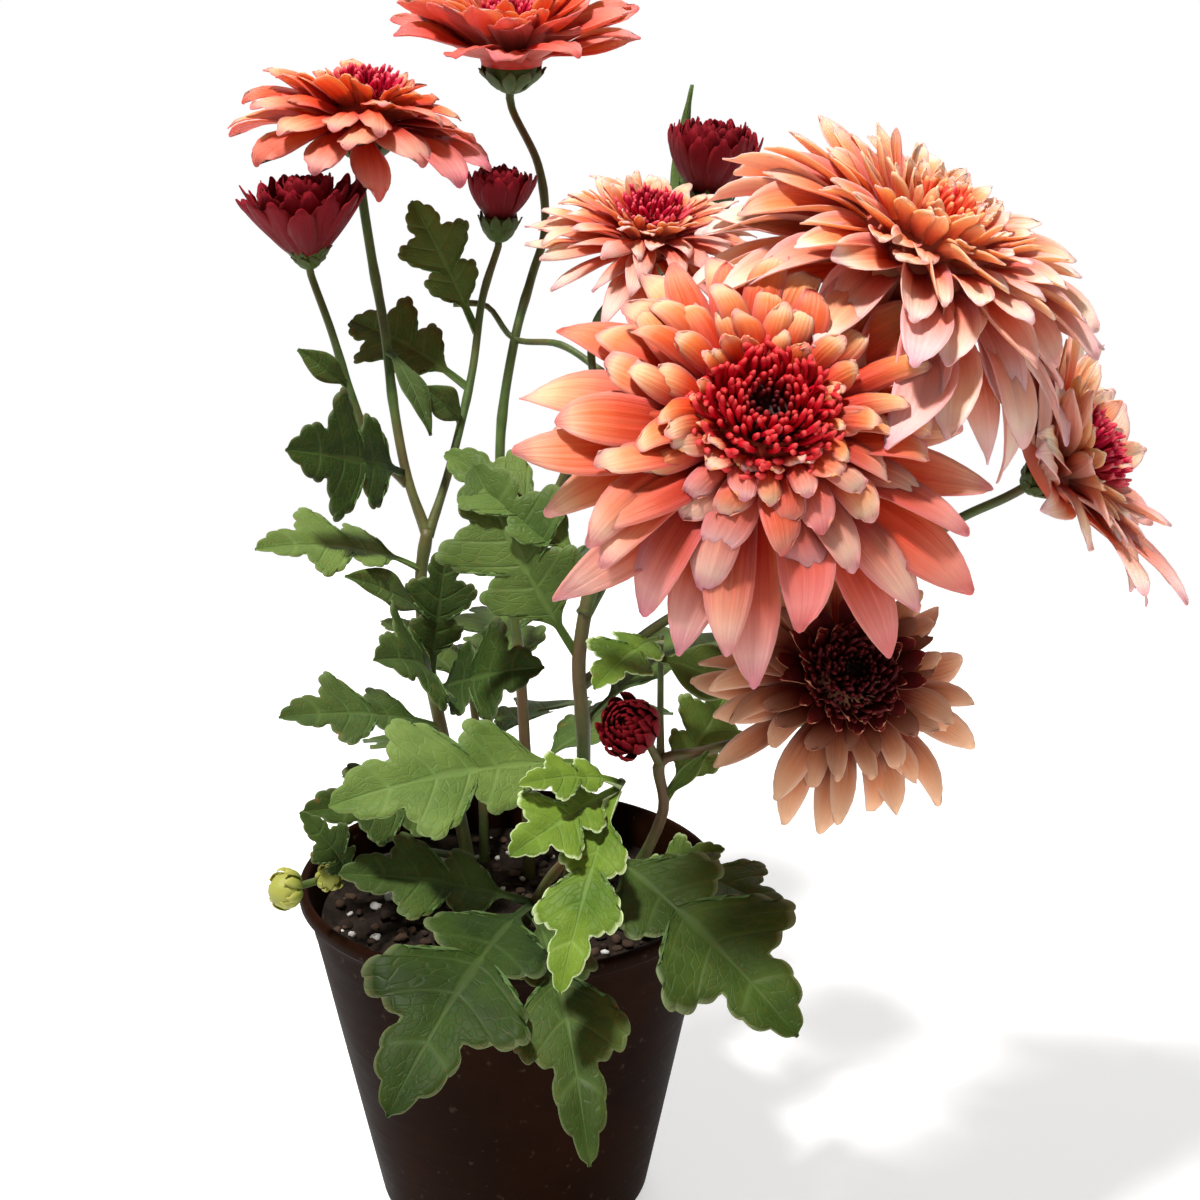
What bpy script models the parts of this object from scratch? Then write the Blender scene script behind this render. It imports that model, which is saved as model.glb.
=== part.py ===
"""Pot chrysanthemum in a 12 cm plastic pot, in metres, +Z up, origin at the centre of the pot's base.

Five rooted cuttings and a young front shoot stand in plain holes in the soil. Each leafy stem is one
solid with its leaves and flower cups. On every cup sits a flower head: a solid of ray petals with a
solid of quilled centre florets on top of it. Half-open buds are one solid of petals each.
"""

import math

import bmesh
import bpy
import numpy as np
from mathutils import Matrix, Vector

MM = 0.001

# Pot: rim and base diameter, height and wall as on a 12 cm nursery pot
POT_RIM_R = 60.0
POT_BASE_R = 39.5
POT_HEIGHT = 98.0
POT_WALL = 1.6
POT_FLOOR = 2.4
POT_LIP = 1.3
TURN_STEPS = 26
DRAIN_HOLES = 4
DRAIN_R = 4.0
DRAIN_RING_R = 27.0

# Soil: level below the rim, and the holes that the stems stand in
SOIL_LEVEL = 87.0
SOIL_GAP = 0.35
SOIL_RINGS = (0.0, 20.0, 38.0)
HOLE_DEPTH = 9.0
HOLE_GAP = 0.5
HOLE_SIDES = 10

# Thickness of blades, and the seat gap between a cup and its flower head
LEAF_THICK = 0.8
PETAL_THICK = 0.8
SEAT_GAP = 0.3

GREEN = (0.085, 0.19, 0.035)
CORAL = (0.85, 0.33, 0.22)
CRIMSON = (0.42, 0.02, 0.06)
BROWN = (0.035, 0.016, 0.012)
EARTH = (0.02, 0.014, 0.01)

# Half outline of a lobed leaf, as (share of the leaf's length, share of its half width)
LOBED = (
    (0.20, 0.07), (0.33, 0.54), (0.46, 0.82), (0.51, 0.36),
    (0.61, 0.94), (0.75, 0.90), (0.765, 0.34), (0.89, 0.42),
)
LOBED_RIB = (0.20, 0.48, 0.76)
# The same for a small plain leaf or bract
PLAIN = ((0.14, 0.30), (0.45, 0.95), (0.76, 0.70))
PLAIN_RIB = (0.14, 0.60)
PETIOLE = 1.3  # half width of a leaf stalk

# Ray petals in rows from the outside in, in shares of the head's radius:
# count, root radius, root height, length, slope at the root and at the tip in degrees, width
OPEN_ROWS = (
    (13, 0.16, 0.05, 0.88, 6, -38, 0.235),
    (12, 0.17, 0.10, 0.76, 16, -26, 0.230),
    (11, 0.18, 0.15, 0.58, 26, -20, 0.200),
    (10, 0.20, 0.20, 0.38, 36, -12, 0.160),
)
DOME_ROWS = (
    (13, 0.24, 0.05, 0.82, 2, -54, 0.245),
    (12, 0.26, 0.13, 0.67, 16, -50, 0.240),
    (11, 0.25, 0.22, 0.47, 34, -36, 0.210),
    (9, 0.17, 0.31, 0.34, 58, -4, 0.180),
)
YOUNG_ROWS = (
    (10, 0.16, 0.05, 0.90, 26, 2, 0.330),
    (9, 0.16, 0.11, 0.80, 40, 18, 0.310),
    (7, 0.13, 0.17, 0.57, 54, 38, 0.250),
)
CONE_ROWS = (
    (10, 0.16, 0.05, 0.88, 14, -12, 0.275),
    (9, 0.16, 0.11, 0.74, 26, 6, 0.265),
    (7, 0.17, 0.16, 0.48, 38, 22, 0.240),
)
FLAT_ROWS = (
    (10, 0.16, 0.05, 0.90, 6, -30, 0.275),
    (9, 0.16, 0.11, 0.77, 20, -16, 0.265),
    (7, 0.17, 0.16, 0.54, 36, 4, 0.240),
)
CUP_ROWS = ((7, 0.22, 0.06, 1.16, 38, 80, 0.58), (5, 0.14, 0.28, 0.98, 58, 90, 0.40))
BALL_ROWS = ((6, 0.30, 0.10, 1.35, 34, 118, 0.60), (4, 0.24, 0.55, 0.90, 60, 128, 0.46))
CORE_PROFILE = ((0.0, 0.28), (0.19, 0.28), (0.26, 0.09), (0.24, 0.0), (0.0, 0.0))
DOME_CORE = ((0.0, 0.36), (0.20, 0.36), (0.37, 0.20), (0.35, 0.02), (0.22, 0.0), (0.0, 0.0))
CUP_CORE = ((0.0, 0.75), (0.40, 0.66), (0.52, 0.34), (0.34, 0.0), (0.0, 0.0))
BALL_CORE = ((0.0, 1.15), (0.45, 0.98), (0.72, 0.60), (0.42, 0.0), (0.0, 0.0))
SHORT_PETAL = 0.6  # a petal shorter than this share has one bend, a longer one has two
STANDING = 8.0  # degrees by which petals on a tilted head's upper side stand up, and droop on its lower side
# Centre of a head: the button's own profile, from the head core's top up, and rings of quills on it
# as count, foot radius, foot height, length, slope
BUTTON_PROFILE = ((0.0, 0.12), (0.12, 0.10), (0.16, 0.0), (0.0, 0.0))
QUILL_RINGS = ((9, 0.13, 0.06, 0.19, 34), (5, 0.06, 0.09, 0.15, 64))
SMALL_QUILL_RINGS = ((6, 0.10, 0.06, 0.17, 46), (3, 0.04, 0.09, 0.15, 72))

# Flower heads: seat on the cup, axis, radius, rows, core, centre, seed
HEADS = {
    "front": ((60, -77, 237), (0.06, -0.74, 0.67), 50, OPEN_ROWS, CORE_PROFILE, QUILL_RINGS, 17),
    "top_right": ((98, -36, 274), (0.36, -0.35, 0.865), 52.5, DOME_ROWS, DOME_CORE, SMALL_QUILL_RINGS, 26),
    "low_right": ((84, -54, 172), (0.16, -0.75, 0.64), 36, FLAT_ROWS, CORE_PROFILE, QUILL_RINGS, 13),
    "middle": ((38, 12, 270), (0.05, -0.25, 0.97), 32, FLAT_ROWS, CORE_PROFILE, SMALL_QUILL_RINGS, 14),
    "far_right": ((136, -14, 211), (0.74, -0.40, 0.54), 43, CONE_ROWS, CORE_PROFILE, SMALL_QUILL_RINGS, 15),
    "top_left": ((-42, 60, 300), (0.15, -0.14, 0.98), 36, FLAT_ROWS, CORE_PROFILE, SMALL_QUILL_RINGS, 16),
    "top": ((-1, 89, 319), (0.02, -0.20, 0.98), 38, YOUNG_ROWS, CORE_PROFILE, SMALL_QUILL_RINGS, 17),
}
BUDS = {
    "left": ((-57, 41, 270), (-0.10, -0.15, 0.98), 19, CUP_ROWS, CUP_CORE, 21),
    "inner": ((-4, 64, 276), (0.05, -0.05, 1.0), 12.5, CUP_ROWS, CUP_CORE, 22),
    "back": ((56, 56, 284), (0.1, -0.1, 1.0), 17, CUP_ROWS, CUP_CORE, 23),
    "front": ((35, -48, 158), (-0.35, -0.75, 0.55), 9, BALL_ROWS, BALL_CORE, 24),
}
# Cups below the heads and buds, in shares of the head's radius: rim radius, height
CUP_STEPS = 7
HEAD_CUP = (0.24, 0.30)
BUD_CUP = (0.52, 0.55)

# Leafy stems. A shoot is a route with its radius at the foot and at the tip; the first shoot is rooted.
# A leaf is: foot, tip, way its face looks, width, bow, outline.
STEMS = {
    "left": {
        "shoots": (
            (((-12, 10, 78.5), (-12, 10, 90), (-18, 12, 125), (-24, 18, 155), (-26, 25, 176),
              (-24, 29, 191)), 2.5, 2.1),
            (((-24, 29, 189), (-30, 35, 205), (-34, 42, 224), (-37, 51, 245), (-41, 58, 266),
              "head top_left"), 1.7, 1.7),
            (((-24, 29, 189), (-18, 38, 207), (-12, 50, 232), (-9, 58, 253), "bud inner"), 1.6, 1.3),
            (((-30, 35, 203), (-39, 32, 214), (-45, 33, 230), (-50, 35, 247), "bud left"), 1.5, 1.3),
            (((-13, 10, 97), (-27, -9, 108), (-41, -30, 112), (-53, -46, 115)), 1.3, 1.2),
        ),
        "leaves": (
            ((-30, 34, 206), (-58, 1, 220), (0.55, -0.75, 0.35), 36, 4, "lobed"),
            ((-28, 26, 180), (-67, -3, 194), (0.0, -0.5, 0.85), 26, 4, "lobed"),
            ((-25, 22, 168), (-43, -2, 186), (0.2, -0.7, 0.7), 12, 2, "plain"),
            ((-24, 17, 150), (-17, 14, 191), (0.1, -0.97, 0.2), 20, 3, "lobed"),
            ((-22, 15, 146), (-33, -25, 170), (0.1, -0.75, 0.65), 34, 6, "lobed"),
            ((-22, 15, 146), (10, -11, 163), (0.0, -0.8, 0.6), 30, 4, "lobed"),
            ((-20, 13, 137), (-61, -14, 150), (0.0, -0.5, 0.86), 26, 4, "lobed"),
            ((-15, 11, 108), (-53, -29, 129), (-0.2, -0.7, 0.65), 26, 4, "lobed"),
            ((-12, 50, 228), (-50, 73, 245), (0.1, -0.85, 0.5), 26, 3, "lobed"),
            ((-10, 56, 243), (-29, 60, 281), (0.2, -0.95, 0.2), 22, 2, "lobed"),
            ((-36, 47, 240), (-22, 27, 219), (0.5, -0.7, 0.5), 8, 3, "plain"),
            ((-46, 33, 232), (-58, 26, 243), (-0.2, -0.8, 0.5), 8, 2, "plain"),
            ((-15, 44, 219), (-25, 36, 231), (0.0, -0.8, 0.5), 10, 2, "plain"),
            ((-14, 10, 112), (-52, 36, 112), (-0.2, 0.1, 0.95), 28, 5, "lobed"),
        ),
    },
    "back": {
        "shoots": (
            (((4, 24, 78.5), (4, 24, 90), (3, 30, 125), (1, 34, 156), (-3, 42, 181), (-4, 52, 213),
              (0, 61, 240), (5, 69, 258), (9, 75, 272), (7, 80, 290), "head top"), 2.2, 1.4),
            (((-2, 41, 178), (12, 46, 197), (24, 52, 225), (44, 56, 257), "bud back"), 1.5, 1.3),
            (((-18, 64, 251), (-8, 65, 250), (0, 61, 241), (14, 49, 241), (26, 38, 235)), 1.0, 1.3),
        ),
        "leaves": (
            ((1, 36, 160), (42, 62, 182), (0.2, 0.5, 0.8), 32, 6, "lobed"),
            ((2, 32, 140), (-10, 82, 152), (-0.1, 0.2, 0.95), 34, 6, "lobed"),
            ((14, 46, 200), (50, 78, 212), (0.0, 0.4, 0.9), 28, 5, "lobed"),
            ((3, 28, 115), (48, 54, 126), (0.2, 0.2, 0.95), 32, 6, "lobed"),
            ((50, 56, 262), (52, 71, 313), (-0.2, 0.95, 0.0), 5, 7, "plain"),
        ),
    },
    "right": {
        "shoots": (
            (((16, 2, 78.5), (16, 2, 90), (20, -9, 118), (21, -18, 145), (20, -19, 170), (26, -19, 193),
              (42, -31, 203), (57, -50, 215), "head front"), 2.5, 2.0),
            (((21, -19, 180), (38, -4, 203), (64, -4, 224), (84, -22, 243), "head top_right"), 2.0, 1.8),
            (((20, -18, 160), (48, 4, 174), (80, 5, 182), (105, 0, 191), (121, -6, 203),
              "head far_right"), 1.7, 1.5),
            (((25, -18, 190), (27, 2, 218), (23, 20, 243), (27, 22, 255), "head middle"), 1.5, 1.3),
        ),
        "leaves": (
            ((21, -19, 168), (-8, -4, 217), (-0.1, -0.9, 0.4), 38, 5, "lobed"),
            ((25, -18, 190), (-16, 4, 219), (-0.1, -0.6, 0.8), 24, 4, "lobed"),
            ((20, -16, 138), (-43, -49, 139), (0.0, -0.72, 0.7), 36, 6, "lobed"),
            ((82, 5, 182), (104, -27, 192), (0.2, -0.5, 0.8), 14, 3, "plain"),
            ((20, -12, 150), (66, 18, 162), (0.2, 0.3, 0.93), 32, 6, "lobed"),
            ((50, -4, 212), (78, 34, 222), (0.1, 0.5, 0.85), 28, 5, "lobed"),
        ),
    },
    "low": {
        "shoots": (
            (((27, -14, 78.5), (27, -14, 90), (36, -26, 112), (42, -35, 132), (41, -37, 146),
              (52, -37, 149), (68, -33, 152), (77, -36, 157), "head low_right"), 2.0, 1.5),
            (((41, -37, 145), "bud front"), 1.2, 1.2),
            (((41, -37, 145), (41, -32, 160), (41, -30, 178)), 1.1, 1.0),
        ),
        "leaves": (
            ((36, -26, 111), (73, -57, 112), (0.1, -0.4, 0.9), 22, 4, "lobed"),
            ((30, -18, 98), (59, -22, 115), (-0.1, -0.5, 0.85), 16, 3, "lobed"),
            ((41, -30, 177), (24, -53, 172), (-0.2, -0.7, 0.7), 20, 4, "lobed"),
            ((41, -31, 172), (62, -33, 164), (0.2, -0.8, 0.6), 16, 2, "plain"),
            ((42, -35, 136), (53, -40, 150), (0.3, -0.8, 0.5), 4, 1, "plain"),
            ((42, -35, 134), (60, -14, 158), (0.3, -0.8, 0.5), 22, 3, "lobed"),
        ),
    },
    "young": {
        "shoots": (
            (((4, -24, 78.5), (4, -24, 90), (10, -33, 108), (20, -43, 126), (31, -52, 147)), 1.9, 1.2),
        ),
        "leaves": (
            ((31, -52, 146), (6, -66, 152), (0.0, -0.6, 0.8), 14, 3, "lobed"),
            ((30, -51, 144), (4, -76, 138), (0.1, -0.6, 0.8), 22, 3, "lobed"),
            ((30, -51, 144), (16, -95, 112), (-0.2, -0.8, 0.55), 22, 5, "lobed"),
            ((22, -44, 128), (72, -92, 99), (0.2, -0.65, 0.7), 42, 6, "lobed"),
            ((8, -30, 103), (-24, -102, 84), (0.0, -0.62, 0.78), 44, 13, "lobed"),
            ((7, -29, 98), (23, -104, 72), (0.1, -0.6, 0.8), 28, 16, "lobed"),
            ((8, -30, 103), (-41, -50, 121), (0.0, -0.6, 0.8), 26, 3, "lobed"),
        ),
    },
    "low_back": {
        "shoots": ((((-10, 34, 78.5), (-10, 34, 90), (-11, 42, 112), (-14, 50, 134)), 2.0, 1.4),),
        "leaves": (
            ((-11, 40, 106), (-50, 66, 112), (-0.2, 0.3, 0.93), 30, 5, "lobed"),
            ((-12, 44, 116), (22, 84, 118), (0.1, 0.4, 0.9), 30, 5, "lobed"),
            ((-14, 49, 132), (-44, 74, 150), (-0.2, 0.2, 0.95), 24, 4, "lobed"),
            ((-14, 49, 132), (-16, 90, 136), (0.0, 0.3, 0.95), 24, 4, "lobed"),
        ),
    },
}
GREEN_BUD = ((-52, -45, 115), (-0.7, -0.6, 0.3), 7.0)
STEM_SPACING = 22.0  # length of a straight run in a stem's tube
FLAT_WITHIN = 1.5  # degrees between faces that a fused body's flat parts may differ by


def clear_scene():
    for obj in list(bpy.data.objects):
        bpy.data.objects.remove(obj)


def finish_material(name, colour, roughness):
    material = bpy.data.materials.new(name)
    material.use_nodes = True
    shader = material.node_tree.nodes["Principled BSDF"]
    shader.inputs["Base Color"].default_value = (*colour, 1.0)
    shader.inputs["Roughness"].default_value = roughness
    return material


def link(obj, collection):
    collection.objects.link(obj)
    return obj


def mesh_object(name, points, faces, collection, matrix=None):
    mesh = bpy.data.meshes.new(name)
    mesh.from_pydata([tuple(p) for p in points], [], faces)
    obj = link(bpy.data.objects.new(name, mesh), collection)
    if matrix is not None:
        obj.matrix_world = matrix
    return obj


def applied(obj):
    """The object with its modifiers made part of its mesh, and doubled vertices welded."""
    bpy.context.view_layer.update()
    graph = bpy.context.evaluated_depsgraph_get()
    mesh = bpy.data.meshes.new_from_object(obj.evaluated_get(graph))
    edit = bmesh.new()
    edit.from_mesh(mesh)
    bmesh.ops.remove_doubles(edit, verts=edit.verts, dist=1e-7)
    edit.to_mesh(mesh)
    edit.free()
    collection = obj.users_collection[0]
    made = bpy.data.objects.new(obj.name, mesh)
    made.matrix_world = obj.matrix_world
    bpy.data.objects.remove(obj)
    return link(made, collection)


def flatten(mesh):
    """Joins the slivers that a union leaves in flat faces, then splits every face into triangles."""
    edit = bmesh.new()
    edit.from_mesh(mesh)
    bmesh.ops.dissolve_limit(edit, angle_limit=math.radians(FLAT_WITHIN), verts=edit.verts, edges=edit.edges)
    bmesh.ops.triangulate(edit, faces=edit.faces)
    edit.to_mesh(mesh)
    edit.free()


def fuse(name, base, pieces, material):
    """One Boolean union of the base and the pieces, as one object; the pieces are removed."""
    others = bpy.data.collections.new("pieces")
    bpy.context.scene.collection.children.link(others)
    for piece in pieces:
        for owner in list(piece.users_collection):
            owner.objects.unlink(piece)
        others.objects.link(piece)
    union = base.modifiers.new("union", "BOOLEAN")
    union.operation = "UNION"
    union.operand_type = "COLLECTION"
    union.collection = others
    union.solver = "MANIFOLD"
    fused = applied(base)
    for piece in list(others.objects):
        bpy.data.objects.remove(piece)
    bpy.data.collections.remove(others)
    fused.name = name
    flatten(fused.data)
    fused.data.materials.clear()
    fused.data.materials.append(material)
    fused.data.shade_smooth()
    fused.data.set_sharp_from_angle(angle=math.radians(40))
    return fused


def thickened(obj, thickness):
    """An open surface made a closed blade, alike on both faces."""
    solid = obj.modifiers.new("thickness", "SOLIDIFY")
    solid.thickness = thickness * MM
    solid.offset = 0.0
    return applied(obj)


def turned(name, profile, steps, collection, matrix=None):
    """A solid turned round Z. The profile starts on the axis at the top and ends on it at the bottom."""
    mesh = bpy.data.meshes.new(name)
    points = [(r * MM, 0.0, z * MM) for r, z in profile]
    mesh.from_pydata(points, [(i, i + 1) for i in range(len(points) - 1)], [])
    obj = link(bpy.data.objects.new(name, mesh), collection)
    screw = obj.modifiers.new("turn", "SCREW")
    screw.axis = "Z"
    screw.steps = steps
    screw.render_steps = steps
    screw.use_merge_vertices = True
    screw.merge_threshold = 1e-5
    if matrix is not None:
        obj.matrix_world = matrix
    return applied(obj)


def seat_matrix(seat, axis):
    """A frame with its origin at the seat and +Z along the axis."""
    turn = Vector(axis).normalized().to_track_quat("Z", "Y").to_matrix().to_4x4()
    return Matrix.Translation(Vector(seat) * MM) @ turn


def smooth_route(route, spacing):
    """Points about a spacing apart on a Catmull-Rom curve through the route's points."""
    route = np.array(route, float)
    ends = np.vstack([2 * route[0] - route[1], route, 2 * route[-1] - route[-2]])
    points = [route[0]]
    for i in range(1, len(ends) - 2):
        a, b, c, d = ends[i - 1 : i + 3]
        parts = max(1, round(np.linalg.norm(c - b) / spacing))
        for t in np.arange(1, parts + 1) / parts:
            points.append(
                0.5 * (2 * b + (c - a) * t + (2 * a - 5 * b + 4 * c - d) * t**2
                       + (3 * b - a - 3 * c + d) * t**3)
            )
    return np.array(points)


def tube(name, route, first_r, last_r, collection):
    """A stem: a curve with a round bevel that tapers, made a mesh."""
    points = smooth_route(route, STEM_SPACING) * MM
    curve = bpy.data.curves.new(name, "CURVE")
    curve.dimensions = "3D"
    curve.bevel_depth = 1.0 * MM
    curve.bevel_resolution = 1
    curve.use_fill_caps = True
    spline = curve.splines.new("POLY")
    spline.points.add(len(points) - 1)
    for i, (knot, place) in enumerate(zip(spline.points, points)):
        knot.co = (*place, 1.0)
        knot.radius = first_r + (last_r - first_r) * i / (len(points) - 1)
    return applied(link(bpy.data.objects.new(name, curve), collection))


def leaf(foot, tip, face, width, bow, outline, collection):
    """A lobed blade on its stalk: both margins are joined to the midrib, folded up a little along it,
    and the whole is bowed between foot and tip. Its foot is on the stem's own line."""
    foot, tip, face = (np.array(v, float) for v in (foot, tip, face))
    along = tip - foot
    length = np.linalg.norm(along)
    along /= length
    up = face - (face @ along) * along
    up /= np.linalg.norm(up)
    side = np.cross(up, along)
    margin, rib = (LOBED, LOBED_RIB) if outline == "lobed" else (PLAIN, PLAIN_RIB)
    half = width / 2

    def place(s, w):
        rise = bow * 4 * s * (1 - s) + 0.22 * abs(w) - 0.10 * abs(w) ** 2 / half
        return foot + along * s * length + side * w + up * rise

    ribs = [place(s, 0.0) for s in (0.0, *rib, 1.0)]
    rib_at = [0.0, *rib, 1.0]
    points = list(ribs)
    faces = []
    last = len(ribs) - 1
    for way in (1, -1):
        edge_at = [0.0, *(s for s, _ in margin)]
        first = len(points)
        points.append(place(0.0, way * PETIOLE))
        points.extend(place(s, way * max(w * half, PETIOLE)) for s, w in margin)
        rib_i, edge_i = 0, 0
        while rib_i < last or edge_i < len(edge_at) - 1:
            next_edge = edge_at[edge_i + 1] if edge_i < len(edge_at) - 1 else 2.0
            next_rib = rib_at[rib_i + 1] if rib_i < last else 2.0
            if next_edge <= next_rib:
                corner = (rib_i, first + edge_i, first + edge_i + 1)
                edge_i += 1
            else:
                corner = (rib_i, first + edge_i, rib_i + 1)
                rib_i += 1
            faces.append(corner[::way])
    blade = mesh_object("leaf", np.array(points) * MM, faces, collection)
    return thickened(blade, LEAF_THICK)


def petal_rows(rows, seed):
    """Each petal's own values with a little seeded unevenness, as
    (angle, root radius, root height, length, slope at the root, slope at the tip, width)."""
    for number, (count, root_r, root_z, length, slope, tip_slope, width) in enumerate(rows):
        uneven = np.random.default_rng(100 * seed + number).uniform(-1, 1, (count, 3))
        for i, (turn, longer, tilt) in enumerate(uneven):
            angle = 2 * math.pi * (i + 0.5 * (number % 2) + 0.08 * turn) / count
            yield (angle, root_r, root_z, length * (1 + 0.05 * longer), slope + 2 * tilt,
                   tip_slope + 7 * tilt, width)


def petal(values, radius, collection, matrix):
    """A ray petal: its midline leaves the core at one slope and ends at another, higher on a tilted
    head's upper side, and its width swells towards two thirds of its length and runs to a point."""
    angle, root_r, root_z, length, slope, tip_slope, width = values
    outward = np.array((math.cos(angle), math.sin(angle), 0.0))
    sideways = np.array((-math.sin(angle), math.cos(angle), 0.0))
    steps = np.linspace(0, 1, 25)
    standing = STANDING * np.dot(outward, matrix[2][:3])
    slopes = np.radians(slope + (tip_slope - slope + standing) * steps)
    run = root_r + length * np.concatenate([[0], np.cumsum(np.cos(slopes[:-1])) / 24])
    rise = root_z + length * np.concatenate([[0], np.cumsum(np.sin(slopes[:-1])) / 24])
    middle = np.outer(run, outward)
    middle[:, 2] = rise
    stations = ((0, 0.26), (15, 0.94)) if length < SHORT_PETAL else ((0, 0.26), (11, 0.88), (19, 0.92))
    points = [middle[at] + sideways * way * wide * width for at, wide in stations for way in (-0.5, 0.5)]
    points.append(middle[-1])
    faces = [(i + 1, i, i + 2, i + 3) for i in range(0, len(points) - 3, 2)]
    faces.append((len(points) - 2, len(points) - 3, len(points) - 1))
    blade = mesh_object("petal", np.array(points) * radius * MM, faces, collection, matrix)
    return thickened(blade, PETAL_THICK)


def quill(angle, foot_r, foot_z, length, slope, radius, collection, matrix):
    """A centre floret: a three-sided cone that leans outward."""
    lean = math.radians(slope)
    way = Vector((math.cos(angle) * math.cos(lean), math.sin(angle) * math.cos(lean), math.sin(lean)))
    foot = Vector((foot_r * math.cos(angle), foot_r * math.sin(angle), foot_z))
    edit = bmesh.new()
    bmesh.ops.create_cone(
        edit, cap_ends=True, segments=3, radius1=0.034 * radius * MM, radius2=0.022 * radius * MM,
        depth=length * radius * MM,
    )
    mesh = bpy.data.meshes.new("quill")
    edit.to_mesh(mesh)
    edit.free()
    obj = link(bpy.data.objects.new("quill", mesh), collection)
    middle = (foot + way * length / 2) * radius * MM
    obj.matrix_world = matrix @ Matrix.Translation(middle) @ way.to_track_quat("Z", "Y").to_matrix().to_4x4()
    return applied(obj)


def scaled(profile, radius):
    return [(r * radius, z * radius) for r, z in profile]


def flower_head(name, values, collection, coral, crimson):
    """Ray petals on their core, and the quilled centre that sits on the core's flat top."""
    seat, axis, radius, rows, core_profile, rings, seed = values
    matrix = seat_matrix(seat, axis)
    core = turned("core", scaled(core_profile, radius), 10, collection, matrix)
    petals = [petal(one, radius, collection, matrix) for one in petal_rows(rows, seed)]
    fuse(f"petals_{name}", core, petals, coral)

    on_core = seat_matrix((0, 0, core_profile[0][1] * radius + SEAT_GAP), (0, 0, 1))
    matrix = matrix @ on_core
    button = turned("button", scaled(BUTTON_PROFILE, radius), 8, collection, matrix)
    quills = [
        quill(2 * math.pi * (i + 0.5 * (ring % 2)) / count, foot_r, foot_z, length, slope, radius,
              collection, matrix)
        for ring, (count, foot_r, foot_z, length, slope) in enumerate(rings)
        for i in range(count)
    ]
    fuse(f"centre_{name}", button, quills, crimson)


def bud(name, values, collection, crimson):
    """A half-open or closed bud: upright petals round a core."""
    seat, axis, radius, rows, core_profile, seed = values
    matrix = seat_matrix(seat, axis)
    core = turned("core", scaled(core_profile, radius), 10, collection, matrix)
    petals = [petal(one, radius, collection, matrix) for one in petal_rows(rows, seed)]
    fuse(f"bud_{name}", core, petals, crimson)


def green_cup(seat, axis, radius, shares, collection):
    """The cup of bracts under a head, with its rim just below the head's seat."""
    rim, height = shares
    profile = (
        (0.0, -SEAT_GAP), (rim * radius, -SEAT_GAP), (0.86 * rim * radius, -0.45 * height * radius),
        (1.6, -height * radius), (0.0, -height * radius),
    )
    return turned("cup", profile, CUP_STEPS, collection, seat_matrix(seat, axis))


def shoot_end(word):
    """For a shoot that carries a head or bud: its name's values and its cup's proportions."""
    kind, name = word.split()
    if kind == "head":
        return HEADS[name], HEAD_CUP
    return BUDS[name], BUD_CUP


def leafy_stem(name, values, collection, green):
    """One rooted stem with its side shoots, leaves and flower cups, fused. A leaf's stalk starts on
    the nearest point of the shoots' own lines."""
    pieces = []
    lines = []
    for route, first_r, last_r in values["shoots"]:
        points = [p for p in route if not isinstance(p, str)]
        if isinstance(route[-1], str):
            (seat, axis, radius, *_), cup = shoot_end(route[-1])
            down = np.array(axis, float) / np.linalg.norm(axis)
            foot = np.array(seat, float) - down * cup[1] * radius
            points.append(tuple(foot - down * 0.12 * radius))
            points.append(tuple(foot + down * 0.12 * radius))
            pieces.append(green_cup(seat, axis, radius, cup, collection))
        lines.append(smooth_route(points, 1.0))
        pieces.append(tube("shoot", points, first_r, last_r, collection))
    line = np.vstack(lines)
    for foot, tip, face, width, bow, outline in values["leaves"]:
        foot = line[np.argmin(np.linalg.norm(line - foot, axis=1))]
        pieces.append(leaf(foot, tip, face, width, bow, outline, collection))
    if name == "left":
        seat, axis, radius = GREEN_BUD
        profile = scaled(((0.0, 1.6), (0.55, 1.35), (0.95, 0.75), (0.7, 0.1), (0.0, -0.4)), radius)
        pieces.append(turned("green_bud", profile, 9, collection, seat_matrix(seat, axis)))
    base = pieces.pop(next(i for i, p in enumerate(pieces) if p.name.startswith("shoot")))
    fuse(f"stem_{name}", base, pieces, green)


def inner_radius(height):
    """The pot wall's inner radius at a height, from the flared outer profile."""
    return float(np.interp(height, (0, 60, 84, POT_HEIGHT), POT_OUTER)) - POT_WALL


POT_OUTER = (POT_BASE_R, 51.2, 55.8, POT_RIM_R - POT_LIP)


def pot(collection, brown):
    """A turned, gently flared wall with a rolled lip, a floor and drain holes near its edge."""
    rim = POT_HEIGHT
    profile = (
        (0.0, POT_FLOOR), (inner_radius(POT_FLOOR), POT_FLOOR), (inner_radius(60), 60),
        (inner_radius(84), 84), (POT_RIM_R - POT_LIP - POT_WALL, rim - 0.5), (POT_RIM_R - 1.0, rim),
        (POT_RIM_R, rim - 1.2), (POT_RIM_R - 0.1, rim - 4.2), (POT_RIM_R - POT_LIP - 0.5, rim - 5.0),
        (POT_OUTER[2], 84), (POT_OUTER[1], 60), (POT_BASE_R, 0.0), (0.0, 0.0),
    )
    body = turned("pot", profile, TURN_STEPS, collection)
    for i in range(DRAIN_HOLES):
        angle = 2 * math.pi * i / DRAIN_HOLES
        bpy.ops.mesh.primitive_cylinder_add(
            vertices=8, radius=DRAIN_R * MM, depth=20 * MM,
            location=(DRAIN_RING_R * MM * math.cos(angle), DRAIN_RING_R * MM * math.sin(angle), 0.0),
        )
        cutter = bpy.context.object
        cut = body.modifiers.new("drain", "BOOLEAN")
        cut.operation = "DIFFERENCE"
        cut.object = cutter
        body = applied(body)
        bpy.data.objects.remove(cutter)
    body.name = "pot"
    body.data.materials.append(brown)
    body.data.shade_smooth()
    body.data.set_sharp_from_angle(angle=math.radians(35))


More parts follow.
